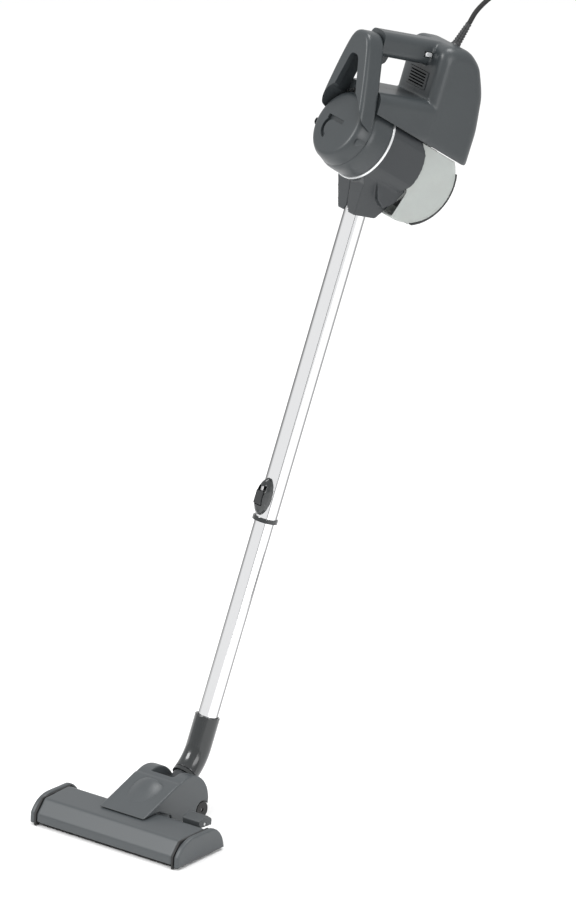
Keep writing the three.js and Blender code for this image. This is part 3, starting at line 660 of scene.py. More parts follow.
@dataclass(frozen=True)
class Finish:
    """A finish: a base colour with its own variation, gloss and fine relief.

    Attributes:
        name: the material's name.
        color: base colour, linear red, green and blue.
        tone: second colour that clouds mix in.
        roughness: roughness of its smoothest places.
        spread: how much rougher its roughest places are.
        grain: scale of its fine relief.
        relief: height of its fine relief, in micrometres.
        metallic: 1 for bare metal.
        coat: weight of a clear gloss over it.
        alpha: how opaque it is.
        dust: how strongly dust lightens it.
        pattern: the shared group that gives its relief.
        edge: how strongly a painted dark reflection darkens it where it turns away from the eye.
    """

    name: str
    color: tuple[float, float, float]
    tone: tuple[float, float, float]
    roughness: float = 0.4
    spread: float = 0.08
    grain: float = 900.0
    relief: float = 20.0
    metallic: float = 0.0
    coat: float = 0.0
    alpha: float = 1.0
    dust: float = 0.0
    pattern: Pattern = Pattern.GRAIN
    edge: float = 0.0

    def material(self) -> bpy.types.Material:
        """The finish's material, made on first use."""
        found = bpy.data.materials.get(self.name)
        if found:
            return found
        material = bpy.data.materials.new(self.name)
        material.use_nodes = True
        nodes, links = material.node_tree.nodes, material.node_tree.links
        shader = nodes["Principled BSDF"]
        shader.inputs["Metallic"].default_value = self.metallic
        shader.inputs["Coat Weight"].default_value = self.coat
        shader.inputs["Coat Roughness"].default_value = 0.06
        shader.inputs["Alpha"].default_value = self.alpha
        relief = nodes.new("ShaderNodeGroup")
        relief.node_tree = GROUPS.get(self.pattern)
        relief.inputs["Scale"].default_value = self.grain
        if self.pattern is Pattern.GRAIN:
            relief.inputs["Spread"].default_value = self.spread
        bump = nodes.new("ShaderNodeBump")
        bump.inputs["Strength"].default_value = 0.5
        bump.inputs["Distance"].default_value = self.relief * 1e-6
        links.new(relief.outputs["Height"], bump.inputs["Height"])
        links.new(bump.outputs["Normal"], shader.inputs["Normal"])
        self._gloss(nodes, links, relief, shader)
        self._colour(nodes, links, relief, shader)
        return material

    def _gloss(self, nodes: bpy.types.Nodes, links: bpy.types.NodeLinks,
               relief: bpy.types.Node, shader: bpy.types.Node) -> None:
        """Roughness that varies over the surface."""
        gloss = nodes.new("ShaderNodeMath")
        gloss.operation = "ADD"
        links.new(relief.outputs["Gloss"], gloss.inputs[0])
        gloss.inputs[1].default_value = self.roughness
        if self.pattern is Pattern.STREAK:
            gloss.operation = "MULTIPLY_ADD"
            gloss.inputs[1].default_value = self.spread
            gloss.inputs[2].default_value = self.roughness
        links.new(gloss.outputs[0], shader.inputs["Roughness"])

    def _colour(self, nodes: bpy.types.Nodes, links: bpy.types.NodeLinks,
                relief: bpy.types.Node, shader: bpy.types.Node) -> None:
        """Base colour that clouds between the two tones, with dust over it and, where edge is set, a painted dark
        reflection along its outline.
        """
        mix = nodes.new("ShaderNodeMix")
        mix.data_type = "RGBA"
        mix.inputs[6].default_value = (*self.color, 1)
        mix.inputs[7].default_value = (*self.tone, 1)
        source = "Tone" if self.pattern is Pattern.GRAIN else "Gloss"
        links.new(relief.outputs[source], mix.inputs[0])
        last = mix.outputs[2]
        if self.dust:
            dust = nodes.new("ShaderNodeGroup")
            dust.node_tree = GROUPS.get(Pattern.DUST)
            dust.inputs["Amount"].default_value = self.dust
            over = nodes.new("ShaderNodeMix")
            over.data_type = "RGBA"
            links.new(dust.outputs["Mask"], over.inputs[0])
            links.new(last, over.inputs[6])
            over.inputs[7].default_value = (0.42, 0.42, 0.40, 1)
            last = over.outputs[2]
        # Painted dark reflection: the colour darkens where the surface turns edge-on to the camera.
        if self.edge:
            last = self._painted_edge_reflection(nodes, links, last)
        links.new(last, shader.inputs["Base Color"])

    def _painted_edge_reflection(self, nodes: bpy.types.Nodes, links: bpy.types.NodeLinks,
                  color: bpy.types.NodeSocket) -> bpy.types.NodeSocket:
        """The colour with a painted dark reflection: darker in a thin band along its outline."""
        facing = nodes.new("ShaderNodeLayerWeight")
        band = nodes.new("ShaderNodeMapRange")
        band.inputs["From Min"].default_value = 0.34
        band.inputs["From Max"].default_value = 0.62
        band.inputs["To Max"].default_value = self.edge
        links.new(facing.outputs["Facing"], band.inputs["Value"])
        mix = nodes.new("ShaderNodeMix")
        mix.data_type = "RGBA"
        links.new(band.outputs["Result"], mix.inputs[0])
        links.new(color, mix.inputs[6])
        # Near-black colour of the painted dark reflection.
        mix.inputs[7].default_value = (0.02, 0.02, 0.022, 1)
        return mix.outputs[2]


SLATE = Finish("slate_moulding", (0.026, 0.031, 0.034), (0.034, 0.040, 0.043), 0.32, 0.10)
SLATE_DARK = Finish("dark_moulding", (0.019, 0.022, 0.025), (0.026, 0.030, 0.033), 0.38, 0.10)
NOZZLE = Finish("nozzle_moulding", (0.044, 0.050, 0.054), (0.055, 0.062, 0.066), 0.36, 0.10)
PEDAL = Finish("pedal_moulding", (0.040, 0.045, 0.048), (0.052, 0.057, 0.060), 0.45, 0.1)
GLOSS_BLACK = Finish("gloss_black", (0.009, 0.011, 0.012), (0.013, 0.016, 0.017), 0.20, 0.06, 300, 8, coat=0.4)
SATIN_BLACK = Finish("satin_black", (0.011, 0.012, 0.013), (0.018, 0.019, 0.020), 0.38, 0.1)
RUBBER = Finish("black_rubber", (0.012, 0.012, 0.012), (0.020, 0.020, 0.020), 0.62, 0.12, 600, 30)
# The tube's thin dark edge lines are a painted dark reflection in its base colour, set by edge.
CHROME = Finish(
    "bright_tube", (0.90, 0.91, 0.92), (0.95, 0.95, 0.96), 0.05, 0.05, 700, 1, metallic=1.0,
    pattern=Pattern.STREAK, edge=0.9,
)
SILVER = Finish("silver_trim", (0.80, 0.81, 0.82), (0.90, 0.90, 0.91), 0.24, 0.08, 500, 5, metallic=0.6)
STEEL = Finish(
    "plain_steel", (0.42, 0.42, 0.43), (0.52, 0.52, 0.52), 0.28, 0.12, 400, 8, metallic=1.0,
    pattern=Pattern.STREAK,
)
COPPER = Finish("copper_winding", (0.50, 0.24, 0.11), (0.62, 0.33, 0.17), 0.32, 0.1, 700, 20, metallic=1.0)
PAPER = Finish("filter_paper", (0.72, 0.71, 0.66), (0.62, 0.61, 0.56), 0.9, 0.05, 800, 60)
FELT = Finish("grey_felt", (0.13, 0.13, 0.125), (0.20, 0.20, 0.19), 0.95, 0.04, 1400, 120)
BRISTLE = Finish("black_bristle", (0.010, 0.010, 0.010), (0.020, 0.020, 0.020), 0.5, 0.1, 900, 10)
JACKET = Finish("cord_jacket", (0.012, 0.012, 0.013), (0.020, 0.020, 0.021), 0.48, 0.1, 700, 20)
CUP = Finish("smoked_cup", (0.40, 0.43, 0.415), (0.52, 0.55, 0.53), 0.16, 0.08, 500, 8, alpha=0.72, dust=0.35)


def dress(thing: bpy.types.Object, finish: Finish) -> bpy.types.Object:
    """Puts one finish on an object, in every slot that it has."""
    material = finish.material()
    if not thing.data.materials:
        thing.data.materials.append(material)
    for slot in thing.material_slots:
        slot.material = material
    for polygon in getattr(thing.data, "polygons", ()):
        polygon.material_index = 0
    return thing


# ---- Repeats --------------------------------------------------------------------------------


class Repeats:
    """Geometry Nodes trees that set many small parts out in rows and rings."""

    def __init__(self) -> None:
        """Starts with no tree made."""
        self.trees: dict[str, bpy.types.NodeTree] = {}

    def _begin(self, name: str, inputs: Sequence[tuple[str, str, float | int | None]]) -> bpy.types.NodeTree:
        """A new tree with named inputs and one geometry output."""
        tree = bpy.data.node_groups.new(name, "GeometryNodeTree")
        for label, kind, value in inputs:
            socket = tree.interface.new_socket(label, in_out="INPUT", socket_type=f"NodeSocket{kind}")
            if value is not None:
                socket.default_value = value
        tree.interface.new_socket("Geometry", in_out="OUTPUT", socket_type="NodeSocketGeometry")
        tree.nodes.new("NodeGroupInput")
        tree.nodes.new("NodeGroupOutput")
        self.trees[name] = tree
        return tree

    @staticmethod
    def _end(tree: bpy.types.NodeTree, instances: bpy.types.NodeSocket) -> None:
        """Realises instances, sets their material and sends them out."""
        real = tree.nodes.new("GeometryNodeRealizeInstances")
        paint = tree.nodes.new("GeometryNodeSetMaterial")
        tree.links.new(instances, real.inputs["Geometry"])
        tree.links.new(real.outputs["Geometry"], paint.inputs["Geometry"])
        tree.links.new(tree.nodes["Group Input"].outputs["Material"], paint.inputs["Material"])
        tree.links.new(paint.outputs["Geometry"], tree.nodes["Group Output"].inputs[0])

    def row(self) -> bpy.types.NodeTree:
        """Copies of a unit set out along X, each tilted a little at random."""
        if "row" in self.trees:
            return self.trees["row"]
        tree = self._begin("row", (
            ("Unit", "Object", None), ("Count", "Int", 10), ("Start", "Vector", None), ("Step", "Vector", None),
            ("Tilt", "Float", 0.0), ("Seed", "Int", 3), ("Material", "Material", None),
        ))
        nodes, links = tree.nodes, tree.links
        entry = nodes["Group Input"]
        line = nodes.new("GeometryNodeMeshLine")
        links.new(entry.outputs["Count"], line.inputs["Count"])
        links.new(entry.outputs["Start"], line.inputs["Start Location"])
        links.new(entry.outputs["Step"], line.inputs["Offset"])
        unit = nodes.new("GeometryNodeObjectInfo")
        links.new(entry.outputs["Unit"], unit.inputs["Object"])
        place = nodes.new("GeometryNodeInstanceOnPoints")
        links.new(line.outputs["Mesh"], place.inputs["Points"])
        links.new(unit.outputs["Geometry"], place.inputs["Instance"])
        chance = nodes.new("FunctionNodeRandomValue")
        chance.data_type = "FLOAT_VECTOR"
        links.new(entry.outputs["Seed"], chance.inputs["Seed"])
        negative = nodes.new("ShaderNodeMath")
        negative.operation = "MULTIPLY"
        negative.inputs[1].default_value = -1
        links.new(entry.outputs["Tilt"], negative.inputs[0])
        links.new(negative.outputs[0], chance.inputs["Min"])
        links.new(entry.outputs["Tilt"], chance.inputs["Max"])
        links.new(chance.outputs["Value"], place.inputs["Rotation"])
        self._end(tree, place.outputs["Instances"])
        return tree

    def ring(self) -> bpy.types.NodeTree:
        """Copies of a unit set out round Z, each turned to face outwards."""
        if "ring" in self.trees:
            return self.trees["ring"]
        tree = self._begin("ring", (
            ("Unit", "Object", None), ("Count", "Int", 12), ("Radius", "Float", 0.03),
            ("Material", "Material", None),
        ))
        nodes, links = tree.nodes, tree.links
        entry = nodes["Group Input"]
        circle = nodes.new("GeometryNodeMeshCircle")
        links.new(entry.outputs["Count"], circle.inputs["Vertices"])
        links.new(entry.outputs["Radius"], circle.inputs["Radius"])
        unit = nodes.new("GeometryNodeObjectInfo")
        links.new(entry.outputs["Unit"], unit.inputs["Object"])
        facing = nodes.new("FunctionNodeAlignRotationToVector")
        facing.axis = "X"
        facing.pivot_axis = "Z"
        where = nodes.new("GeometryNodeInputPosition")
        links.new(where.outputs[0], facing.inputs["Vector"])
        place = nodes.new("GeometryNodeInstanceOnPoints")
        links.new(circle.outputs["Mesh"], place.inputs["Points"])
        links.new(unit.outputs["Geometry"], place.inputs["Instance"])
        links.new(facing.outputs[0], place.inputs["Rotation"])
        self._end(tree, place.outputs["Instances"])
        return tree

    @staticmethod
    def grow(name: str, tree: bpy.types.NodeTree, frame: Matrix, **values: object) -> bpy.types.Object:
        """Runs a tree once and keeps its result as a plain mesh.

        Args:
            name: the new object's name.
            tree: the tree.
            frame: where its result goes.
            values: the tree's inputs by name, with underscores for spaces.

        Returns:
            The new object, its unit removed.
        """
        host = bpy.data.objects.new(name, bpy.data.meshes.new(name))
        bpy.context.scene.collection.objects.link(host)
        step = host.modifiers.new("repeat", "NODES")
        step.node_group = tree
        for item in tree.interface.items_tree:
            label = item.name.replace(" ", "_")
            if item.in_out == "INPUT" and label in values:
                step[item.identifier] = values[label]
        evaluate(host)
        host.data.transform(frame)
        discard(values["Unit"])
        return host


REPEATS = Repeats()


# ---- Sub-assemblies -------------------------------------------------------------------------


@dataclass
class Assembly:
    """What every sub-assembly shares: the layout, and how its pieces join the frame."""

    layout: Layout

    def put(self, piece: bpy.types.Object, finish: Finish, slot: str, body: str, *nodes: str) -> bpy.types.Object:
        """Finishes a piece, lets it ride on a body and stand for frame nodes.

        Args:
            piece: the finished form.
            finish: its finish.
            slot: not used.
            body: the body that carries it.
            nodes: the frame nodes that it replaces.

        Returns:
            The piece.
        """
        dress(piece, finish)
        if nodes:
            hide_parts(*nodes)
        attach(piece, body)
        LOG.info("%s: %d faces on %s", piece.name, len(piece.data.polygons), body)
        return piece

    def keep(self, finish: Finish, slot: str, *nodes: str, angle: float = 32) -> None:
        """Shows frame nodes as they are, with a finish and smooth shading."""
        for node in nodes:
            thing = FRAME["nodes"][node]
            dress(thing, finish)
            shade(thing, angle)

    def soften(
        self, node: str, finish: Finish, slot: str, body: str, voxel: float, smoothing: int,
    ) -> bpy.types.Object:
        """Stands a softly rounded copy of a frame node in for it.

        Args:
            node: the frame node.
            finish: its finish.
            slot: not used.
            body: the body that carries it.
            voxel: voxel size of its new skin in millimetres.
            smoothing: how many smoothing steps round its edges.

        Returns:
            The piece.
        """
        piece = remeshed(copy_of(node, f"{node}_skin"), voxel, smoothing)
        return self.put(piece, finish, slot, body, node)


@dataclass
class MainsLead(Assembly):
    """The mains lead: free drop from the strain relief, coil on the floor, tail and plug."""

    radius: float = 3.5
    length: float = 5.0
    coil_centre: tuple[float, float] = (350.0, 700.0)
    levels: tuple[float, ...] = (24.6, 17.6, 10.6, 3.6)
    outer_turn: float = 49.0
    inner_turn: float = 27.5
    tightest_turn: float = 24.5
    clearance: float = 0.06
    samples: int = 90
    boot_foot: tuple[float, float, float] = (0.0, 84.0, 258.0)
    boot_way: tuple[float, float, float] = (0.0, 0.33, 0.944)
    boot_length: float = 36.0

    def build(self) -> None:
        """Makes the cord with its boot, plug and tie."""
        hand = self.layout.hand_frame()
        axis = (hand.to_3x3() @ Vector(self.boot_way)).normalized()
        boot_base = hand @ (Vector(self.boot_foot) * MM)
        tip = boot_base + axis * self.boot_length * MM
        line = self._drop(tip, axis) + self._coil()
        line = self._resampled(line, 4.0)
        cord = self._curve("mains_lead", line)
        dress(cord, JACKET)
        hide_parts("mains_cord", "cord_coil", "cord_tail")
        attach(cord, "hand_unit")
        plug = self._plug()
        measured = sum((b - a).length for a, b in zip(line, line[1:]))
        LOG.info("cord runs %.3f m", measured)
        self._tie()
        self._boot(boot_base, axis)

    @staticmethod
    def _drop(tip: Vector, axis: Vector) -> list[Vector]:
        """The free run from the strain relief down to the coil's first turn."""
        way = [
            (172, 600, 1114), (197, 640, 1128), (226, 680, 1124), (251, 713, 1100), (266, 733, 1062),
            (273, 744, 1010), (276, 748, 900), (277, 749, 760), (277, 749, 600), (277, 749, 440),
            (277, 749, 280), (278, 749, 160), (281, 749, 96), (291, 749, 56), (309, 749, 34), (331, 749, 26),
            (350, 749, 24.7),
        ]
        knots = [tip + axis * 0.4 * MM, tip + axis * 22 * MM, *(Vector(p) * MM for p in way)]
        return MainsLead._flowing(knots)

    @staticmethod
    def _flowing(knots: Sequence[Vector], steps: int = 24) -> list[Vector]:
        """Centripetal spline through points."""
        ends = [knots[0] * 2 - knots[1], *knots, knots[-1] * 2 - knots[-2]]
        line = []
        for a, b, c, d in zip(ends, ends[1:], ends[2:], ends[3:]):
            t = [0.0]
            for p, q in ((a, b), (b, c), (c, d)):
                t.append(t[-1] + max((q - p).length, 1e-9) ** 0.5)
            for k in range(steps):
                u = t[1] + (t[2] - t[1]) * k / steps
                ab = a.lerp(b, (u - t[0]) / (t[1] - t[0]))
                bc = b.lerp(c, (u - t[1]) / (t[2] - t[1]))
                cd = c.lerp(d, (u - t[2]) / (t[3] - t[2]))
                abc = ab.lerp(bc, (u - t[0]) / (t[2] - t[0]))
                bcd = bc.lerp(cd, (u - t[1]) / (t[3] - t[1]))
                line.append(abc.lerp(bcd, (u - t[1]) / (t[2] - t[1])))
        line.append(knots[-1].copy())
        return line

    def _coil(self) -> list[Vector]:
        """Four layers of turns, wound clockwise from the top outside to the bottom outside, then the tail."""
        per, gap = self.samples, 2 * self.radius + self.clearance
        turns: list[list[tuple[float, float]]] = [[] for _ in range(per)]
        places: list[Vector] = []

        def lay(radius: float, height: float) -> None:
            """Adds the winding's next sample, a step further round."""
            index = len(places)
            turns[index % per].append((radius, height))
            angle = math.radians(90) - 2 * math.pi * index / per
            places.append(Vector((
                self.coil_centre[0] + radius * math.cos(angle),
                self.coil_centre[1] + radius * math.sin(angle), height,
            )) * MM)

        bottom = len(self.levels) - 1
        for layer, level in enumerate(self.levels):
            inward = layer % 2 == 0
            for k in range(3 * per + (per // 4 if layer == bottom else 0)):
                beside = [r for r, z in turns[len(places) % per] if abs(z - level) < gap / 2]
                outward = max(beside) + gap if beside else self.inner_turn
                radius = self.outer_turn - gap * k / per if inward else outward
                lay(min(max(radius, self.tightest_turn), self.outer_turn), level)
            if layer == bottom:
                break
            for k in range(per):
                drop = gap * k / per
                reach = math.sqrt(max(gap**2 - drop**2, 0.0))
                inside = max(turns[len(places) % per][-1][0] - reach, self.tightest_turn)
                lay(inside if inward else self.outer_turn, level - drop)
        tail = [
            Vector((self.coil_centre[0] + self.outer_turn, self.coil_centre[1] - y, self.levels[-1])) * MM
            for y in range(4, 67, 3)
        ]
        return places[1:] + tail

    @staticmethod
    def _resampled(line: Sequence[Vector], step: float) -> list[Vector]:
        """The same line with points an even step in millimetres apart."""
        points, carry = [line[0].copy()], 0.0
        for a, b in zip(line, line[1:]):
            length = (b - a).length / MM
            while carry + length >= step:
                share = (step - carry) / length
                a = a.lerp(b, share)
                points.append(a.copy())
                length = (b - a).length / MM
                carry = 0.0
            carry += length
        points.append(line[-1].copy())
        return points

    def _curve(self, name: str, line: Sequence[Vector]) -> bpy.types.Object:
        """An open round curve along a line."""
        data = bpy.data.curves.new(name, "CURVE")
        data.dimensions = "3D"
        data.bevel_depth = self.radius * MM
        data.bevel_resolution = 4
        data.use_fill_caps = True
        spline = data.splines.new("POLY")
        spline.points.add(len(line) - 1)
        for point, place in zip(spline.points, line):
            point.co = (*place, 1)
        spline.use_smooth = True
        cord = bpy.data.objects.new(name, data)
        bpy.context.scene.collection.objects.link(cord)
        return cord

    def _plug(self) -> bpy.types.Object:
        """The moulded plug with its grip and two round pins."""
        y_end = 633.6
        frame = _basis(
            Vector((0, 0, 1)), Vector((-1, 0, 0)), Vector((0, -1, 0)),
            Vector((self.coil_centre[0] + self.outer_turn, y_end, 9.2)) * MM,
        )
        profile = [
            (0, 0.4), (4.4, 0.4), (5.4, 14), (6.8, 18), (10.5, 21), (12.2, 26), (12.8, 36), (12.8, 48),
            (11.5, 51.5), (10, 52.8), (0, 53),
        ]
        form = turned("mains_plug_skin", profile, frame, 64)
        form = only_within(form, block("press", (-8.9, -20, -1), (8.9, 20, 60), frame))
        pins = []
        for side in (-1, 1):
            place = frame @ Matrix.Translation(Vector((0, side * 9.5 * MM, 0)))
            pins.append(turned("pin", [(0, 52.5), (2.4, 52.5), (2.4, 69.6), (1.6, 70.9), (0, 71)], place, 32))
        metal = joined("plug_pins", *(shade(p, 40) for p in pins))
        shade(form, 35)
        self.put(metal, STEEL, "steel", "hand_unit")
        return self.put(form, SATIN_BLACK, "rubber", "hand_unit", "mains_plug")

    def _tie(self) -> bpy.types.Object:
        """A strap round one side of the coil."""
        cx, cy = self.coil_centre
        angle = math.radians(-150)
        frame = Matrix.Translation(Vector((cx, cy, 0)) * MM) @ Matrix.Rotation(angle, 4, "Z")
        swap = _basis(Vector((0, 1, 0)), Vector((1, 0, 0)), Vector((0, 0, 1)), Vector((0, 0, 0)))
        outer = [(22.6, 0.2), (54.2, 0.2), (54.2, 30), (22.6, 30)]
        inner = [(23.8, 0.7), (53.0, 0.7), (53.0, 28.8), (23.8, 28.8)]
        band = slab("cord_tie", outer, -6, 6, frame @ swap, corner=4)
        band = cut_by(band, slab("tie_room", inner, -8, 8, frame @ swap, corner=3.4))
        return self.put(shade(band, 40), RUBBER, "rubber", "hand_unit")

    def _boot(self, base: Vector, axis: Vector) -> None:
        """The tapered strain relief with its flex grooves."""
        across = axis.orthogonal().normalized()
        frame = _basis(across, axis.cross(across), axis, base)
        profile = [(0, -3), (8.0, -3), (8.0, 0.5), (6.6, 2.4)]
        height, step = 4.0, 4.0
        while height < 32:
            radius = 6.2 - 1.9 * (height - 4) / 32
            profile += [
                (radius, height), (radius, height + 2.3),
                (radius - 0.9, height + 2.6), (radius - 0.9, height + 3.7),
            ]
            height += step
        profile += [(4.4, 35.2), (4.1, 36), (3.6, 36), (3.6, 30), (0, 30)]
        boot = turned("cord_boot_skin", profile, frame, 48)
        self.put(shade(boot, 30), SATIN_BLACK, "rubber", "hand_unit", "cord_boot")


@dataclass
class Wand(Assembly):
    """The elbow, the two tubes and the lock between them."""

    outer_radius: float = 16.0
    inner_radius: float = 14.25
    wall: float = 1.0
    outer_span: tuple[float, float] = (294.0, 767.0)
    inner_span: tuple[float, float] = (-25.0, 400.0)
    sides: int = 96

    def build(self) -> None:
        """Makes the tubes round and finishes the rest."""
        frame = self.layout.tube_frame()
        outer, inner = (
            turned(name, [(r, low), (r, high), (r - self.wall, high), (r - self.wall, low)], frame, self.sides)
            for name, r, (low, high) in (
                ("outer_tube_skin", self.outer_radius, self.outer_span),
                ("inner_tube_skin", self.inner_radius, self.inner_span),
            )
        )
        self.put(shade(outer, 40), CHROME, "chrome_tube", "upper_tube", "outer_tube")
        self.put(shade(inner, 40), CHROME, "chrome_tube", "lower_tube", "inner_tube")
        self.soften("elbow_pipe", GLOSS_BLACK, "black_gloss", "lower_tube", 0.9, 5)
        self.soften("lock_housing", GLOSS_BLACK, "black_gloss", "upper_tube", 0.6, 4)
        self.keep(GLOSS_BLACK, "black_gloss", "swivel_collar", "tube_collar", "guide_sleeve")
        self.keep(SATIN_BLACK, "black_gloss", "lock_button")
        self.keep(STEEL, "steel", "lock_spring")
        self.keep(SLATE_DARK, "dark_plastic", "neck_drum")


@dataclass
class Nozzle(Assembly):
    """The floor nozzle with its hood, hub, brush, pedal and rollers."""

    tufts: int = 150
    tuft_pitch: float = 1.55
    brush_y: float = -45.6
    hump_steps: int = 24

    def build(self) -> None:
        """Softens the mouldings and grows the brush."""
        self._hood()
        self.soften("hub_housing", NOZZLE, "nozzle_plastic", "nozzle", 1.1, 16)
        for node in ("end_cap_left", "end_cap_right"):
            self.soften(node, NOZZLE, "nozzle_plastic", "nozzle", 0.8, 4)
        self.soften("floor_pedal", PEDAL, "dark_plastic", "floor_pedal", 0.6, 3)
        for side in ("left", "right"):
            self.keep(RUBBER, "rubber", f"corner_seal_{side}", f"rear_roller_{side}")
        self.keep(SLATE_DARK, "dark_plastic", "sole_plate", "suction_tunnel")
        self.keep(FELT, "felt", "lint_strip_front", "lint_strip_rear")
        self.keep(STEEL, "steel", "pedal_pin", "roller_axle", "hub_pin", "sole_screw_1", "sole_screw_2")
        unit = turned("tuft", [(0, -11), (0.75, -10.9), (0.7, 0), (0, 0)], Matrix.Identity(4), 7)
        start = -self.tuft_pitch * (self.tufts - 1) / 2
        brush = REPEATS.grow(
            "front_brush_tufts", REPEATS.row(), Matrix.Translation(Vector((0, self.brush_y, 11.9)) * MM),
            Unit=unit, Count=self.tufts, Start=(start * MM, 0.0, 0.0), Step=(self.tuft_pitch * MM, 0.0, 0.0),
            Tilt=0.10, Seed=11, Material=BRISTLE.material(),
        )
        self.put(shade(brush, 50), BRISTLE, "bristle", "nozzle", "front_brush")


    def _hood(self) -> None:
        """The hood with its rounded hump, which swells up towards the hub."""
        world = Matrix.Identity(4)
        hood = cut_by(copy_of("nozzle_hood", "hood"), block("crest", (-70, -70, 38), (70, 60, 120), world))
        form = bmesh.new()
        rings = []
        for k in range(self.hump_steps + 1):
            share = k / self.hump_steps
            rise = share * share * (3 - 2 * share)
            y, top, half = -26 + 82 * share, 33 + 37 * rise, 22 + 19 * rise
            rings.append([
                form.verts.new(Vector((half * math.cos(a), y, 24 + (top - 24) * math.sin(a))) * MM)
                for a in (math.pi * j / 24 for j in range(25))
            ])
        for first, second in zip(rings, rings[1:]):
            for j in range(25):
                n = (j + 1) % 25
                form.faces.new((first[j], first[n], second[n], second[j]))
        form.faces.new(rings[0])
        form.faces.new(rings[-1])
        bmesh.ops.recalc_face_normals(form, faces=form.faces)
        hood = remeshed(joined("nozzle_hood_skin", hood, object_from("hump", form)), 1.1, 14)
        turn = _basis(Vector((0, 0, 1)), Vector((0, 1, 0)), Vector((-1, 0, 0)), Vector(self.layout.hub) * MM)
        hood = cut_by(hood, turned("hub_room", [(0, -46), (43.4, -46), (43.4, 46), (0, 46)], turn, 96))
        self.put(shade(hood, 40), NOZZLE, "nozzle_plastic", "nozzle", "nozzle_hood")


@dataclass
class DustCup(Assembly):
    """The see-through dust cup with its emptying cover and latch."""

    def build(self) -> None:
        """Rounds the cup and its cover."""
        self.soften("dust_cup", CUP, "smoke_cup", "dust_cup", 0.9, 4)
        self.soften("cup_cover", SATIN_BLACK, "dark_plastic", "cup_cover", 0.8, 4)
        self.keep(SILVER, "steel", "cover_pin")
        self.keep(SLATE_DARK, "dark_plastic", "cover_latch", "cyclone_cone")
        self.keep(RUBBER, "rubber", "cup_seal")


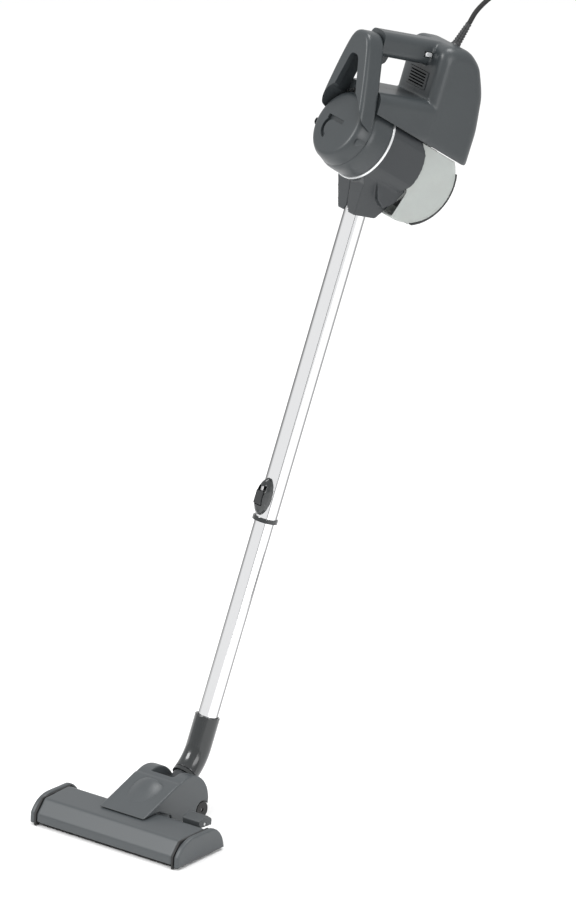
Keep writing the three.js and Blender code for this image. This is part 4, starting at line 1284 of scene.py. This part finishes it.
@dataclass
class HandUnit(Assembly):
    """The hand-held unit: drum, front frame and cap, housings and what they hold."""

    half_width: float = 50.0
    seam: float = 37.5
    bar_half: float = 19.0
    deck_top: float = 181.5
    front: float = -46.0
    drum_clear: float = 59.2
    sleeve_radius: float = 57.4
    sleeve_end: float = 34.0
    drum_bore: float = 53.0
    cap_face: float = 55.5
    pleats: int = 72
    pleat_radius: float = 31.0

    def build(self) -> None:
        """Makes the housings and finishes the pieces inside."""
        self._upper()
        self._front()
        for node in ("lower_housing_left", "lower_housing_right"):
            self.soften(node, SLATE_DARK, "dark_plastic", "hand_unit", 1.1, 5)
        self.soften("power_trigger", SLATE_DARK, "dark_plastic", "power_trigger", 0.6, 3)
        # The speed button is a real part; its light silver colour is a painted highlight for the glint on a small
        # glossy button.
        self.soften("speed_button", SILVER, "silver_trim", "speed_button", 0.4, 3)
        self.keep(SLATE_DARK, "dark_plastic", "bayonet_ring", "filter_frame", "vent_grille", "fan_shroud")
        self.keep(SATIN_BLACK, "dark_plastic", "switch_block")
        self.keep(STEEL, "steel", "motor_can", "trigger_spring")
        self.keep(COPPER, "copper", "motor_rotor")
        self.keep(RUBBER, "rubber", "motor_seal")
        self.keep(FELT, "felt", "exhaust_foam")
        self._filter()

    def _filter(self) -> None:
        """The pleated ring filter behind the front cap."""
        frame = self.layout.drum_frame()
        inwards = Matrix.Translation(Vector((-self.pleat_radius, 0, 0)) * MM)
        unit = block("pleat", (20.4, -0.45, -3.8), (41, 0.45, 21.8), inwards)
        pleats = REPEATS.grow(
            "filter_pleats", REPEATS.ring(), frame, Unit=unit, Count=self.pleats, Radius=self.pleat_radius * MM,
            Material=PAPER.material(),
        )
        self.put(shade(pleats, 30), PAPER, "filter_paper", "hand_unit", "pleated_filter")

    def _upper(self) -> None:
        """The upper housing: rounded back, deck under the hand hole and the handle bar."""
        hand, drum = self.layout.hand_frame(), self.layout.drum_frame()
        back = [
            (38, 118), (38, 252), (48, 262), (76, 262), (89, 257), (105, 243), (118, 216), (124, 200), (129, 165),
            (131, 150), (130, 96),
        ]
        rear = slab("rear", back, -self.half_width, self.half_width, hand, rim=16, corner=8, steps=6)
        deck = slab(
            "deck", [(-62, 120), (-62, self.deck_top), (62, self.deck_top), (62, 120)],
            -self.half_width, self.half_width, hand, rim=14, steps=6,
        )
        bar = slab(
            "bar", [(-60, 226), (-60, 261), (64, 262), (64, 226)], -self.bar_half, self.bar_half, hand,
            rim=11, steps=6,
        )
        skin = remeshed(joined("upper_housing", rear, deck, bar), 1.5, 6)
        grip_room = slab("grip_room", [(-44, 231), (-44, 256), (60, 257), (60, 231)], -14, 14, hand, rim=5)
        deck_room = block("deck_room", (-44, 10, 144), (44, 60, 176), hand)
        back_room = slab(
            "back_room", [
                (42, 110), (42, 250), (52, 257), (74, 257), (96, 245), (112, 212), (124, 160), (124, 90),
            ],
            -45, 45, hand, rim=12,
        )
        skin = cut_by(
            skin, grip_room, deck_room, back_room,
            turned("over_drum", [(0, -FAR), (self.drum_clear, -FAR), (self.drum_clear, FAR), (0, FAR)], drum, 128),
            block("below_seam", (-FAR, -FAR, -FAR), (FAR, self.seam, FAR), drum),
            block("before", (-FAR, -FAR, -FAR), (FAR, self.front, FAR), hand),
            block("vent_pocket", (-24, 34, 192), (24, 46, 218), hand),
            block("trigger_slot", (-9.4, -43.4, 200), (9.4, -23.6, 237), hand),
            block("button_slot", (14, 24, 238), (24, 38, 246), hand),
        )
        for half, node in zip(
            halved(skin, hand, 0.3, "upper_housing_left_skin", "upper_housing_right_skin"),
            ("upper_housing_left", "upper_housing_right"),
        ):
            self.put(half, SLATE, "slate_plastic", "hand_unit", node)

    def _front(self) -> None:
        """The front frame with its window, the drum sleeve, the cap and the trim ring."""
        hand, drum = self.layout.hand_frame(), self.layout.drum_frame()
        self._frame(hand, drum)
        cap = turned("front_cap_skin", [
            (0, 34.4), (54.4, 34.4), (54, 37), (50.6, 49), (48.4, 52.2), (46.4, 54.2), (44, 55.3),
            (41, self.cap_face), (0, self.cap_face),
        ], drum, 128)
        room = turned("cap_room", [(0, 30), (43.5, 30), (43.5, 49.5), (0, 49.5)], drum, 96)
        bow = turned("bow", [(17, 51), (17, 60), (11, 60), (11, 51)], drum @ Matrix.Translation(
            Vector((-10, -9.2, 0)) * MM), 64)
        bow = cut_by(bow, block("bow_half", (-12, -60, 40), (60, 60, 70), drum))
        bar = block("slot_bar", (-25, 2, 51), (13, 8, 60), drum)
        cap = cut_by(cap, room, bow, bar)
        self.put(shade(cap, 25), SLATE, "slate_plastic", "front_cap", "front_cap")
        ring = turned("trim_ring_skin", [
            (59, -1.6), (59, 1.2), (58.6, 1.6), (self.drum_bore, 1.6), (self.drum_bore, -1.6),
        ], drum, 128)
        self.put(shade(ring, 35), SILVER, "silver_trim", "hand_unit", "trim_ring")

    def _frame(self, hand: Matrix, drum: Matrix) -> None:
        """The front frame: a teardrop loop round the window that runs into the drum's sleeve."""
        flat = hand @ _basis(Vector((0, 1, 0)), Vector((-1, 0, 0)), Vector((0, 0, 1)), Vector((0, 0, 0)))
        side = [(55, 100), (55, 122), (50, 156), (41, 190), (31, 222), (22, 246), (12, 256)]
        outline = side + [(-x, z) for x, z in reversed(side)]
        loop = slab("loop", outline, -75, -46.4, flat, rim=7, corner=12, steps=6)
        loop = remeshed(loop, 1.0, 4)
        window = slab("window", [(-30, 164), (-9, 222), (9, 222), (30, 164)], -95, -40, flat, corner=7)
        wide = slab("wide", [(-36, 158), (-12, 228), (12, 228), (36, 158)], -66, -40, flat, corner=7)
        bore, end = self.drum_bore, self.sleeve_end
        room = [(0, -100), (bore, -100), (bore, end), (55.2, end), (55.2, 100), (0, 100)]
        sleeve = turned("sleeve", [
            (self.sleeve_radius, 2), (self.sleeve_radius, 18), (57, 27), (55.8, 32), (54.4, end), (bore, end),
            (bore, 2),
        ], drum, 128)
        behind = block("behind", (-90, -200, -120), (90, 100, 2), drum)
        loop = cut_by(loop, window, wide, turned("sleeve_room", room, drum, 128), behind)
        skin = joined("front_frame_skin", loop, sleeve)
        self.put(shade(skin, 35), SLATE, "slate_plastic", "hand_unit", "front_frame")


def main() -> None:
    """Builds the whole scene round the frame."""
    logging.basicConfig(level=logging.INFO, format="%(message)s")
    FRAME.update(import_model())
    layout = Layout()
    studio = Studio()
    studio.build()
    for assembly in (
        MainsLead(layout), Wand(layout), Nozzle(layout), DustCup(layout), HandUnit(layout),
    ):
        assembly.build()


if __name__ == "__main__":
    main()
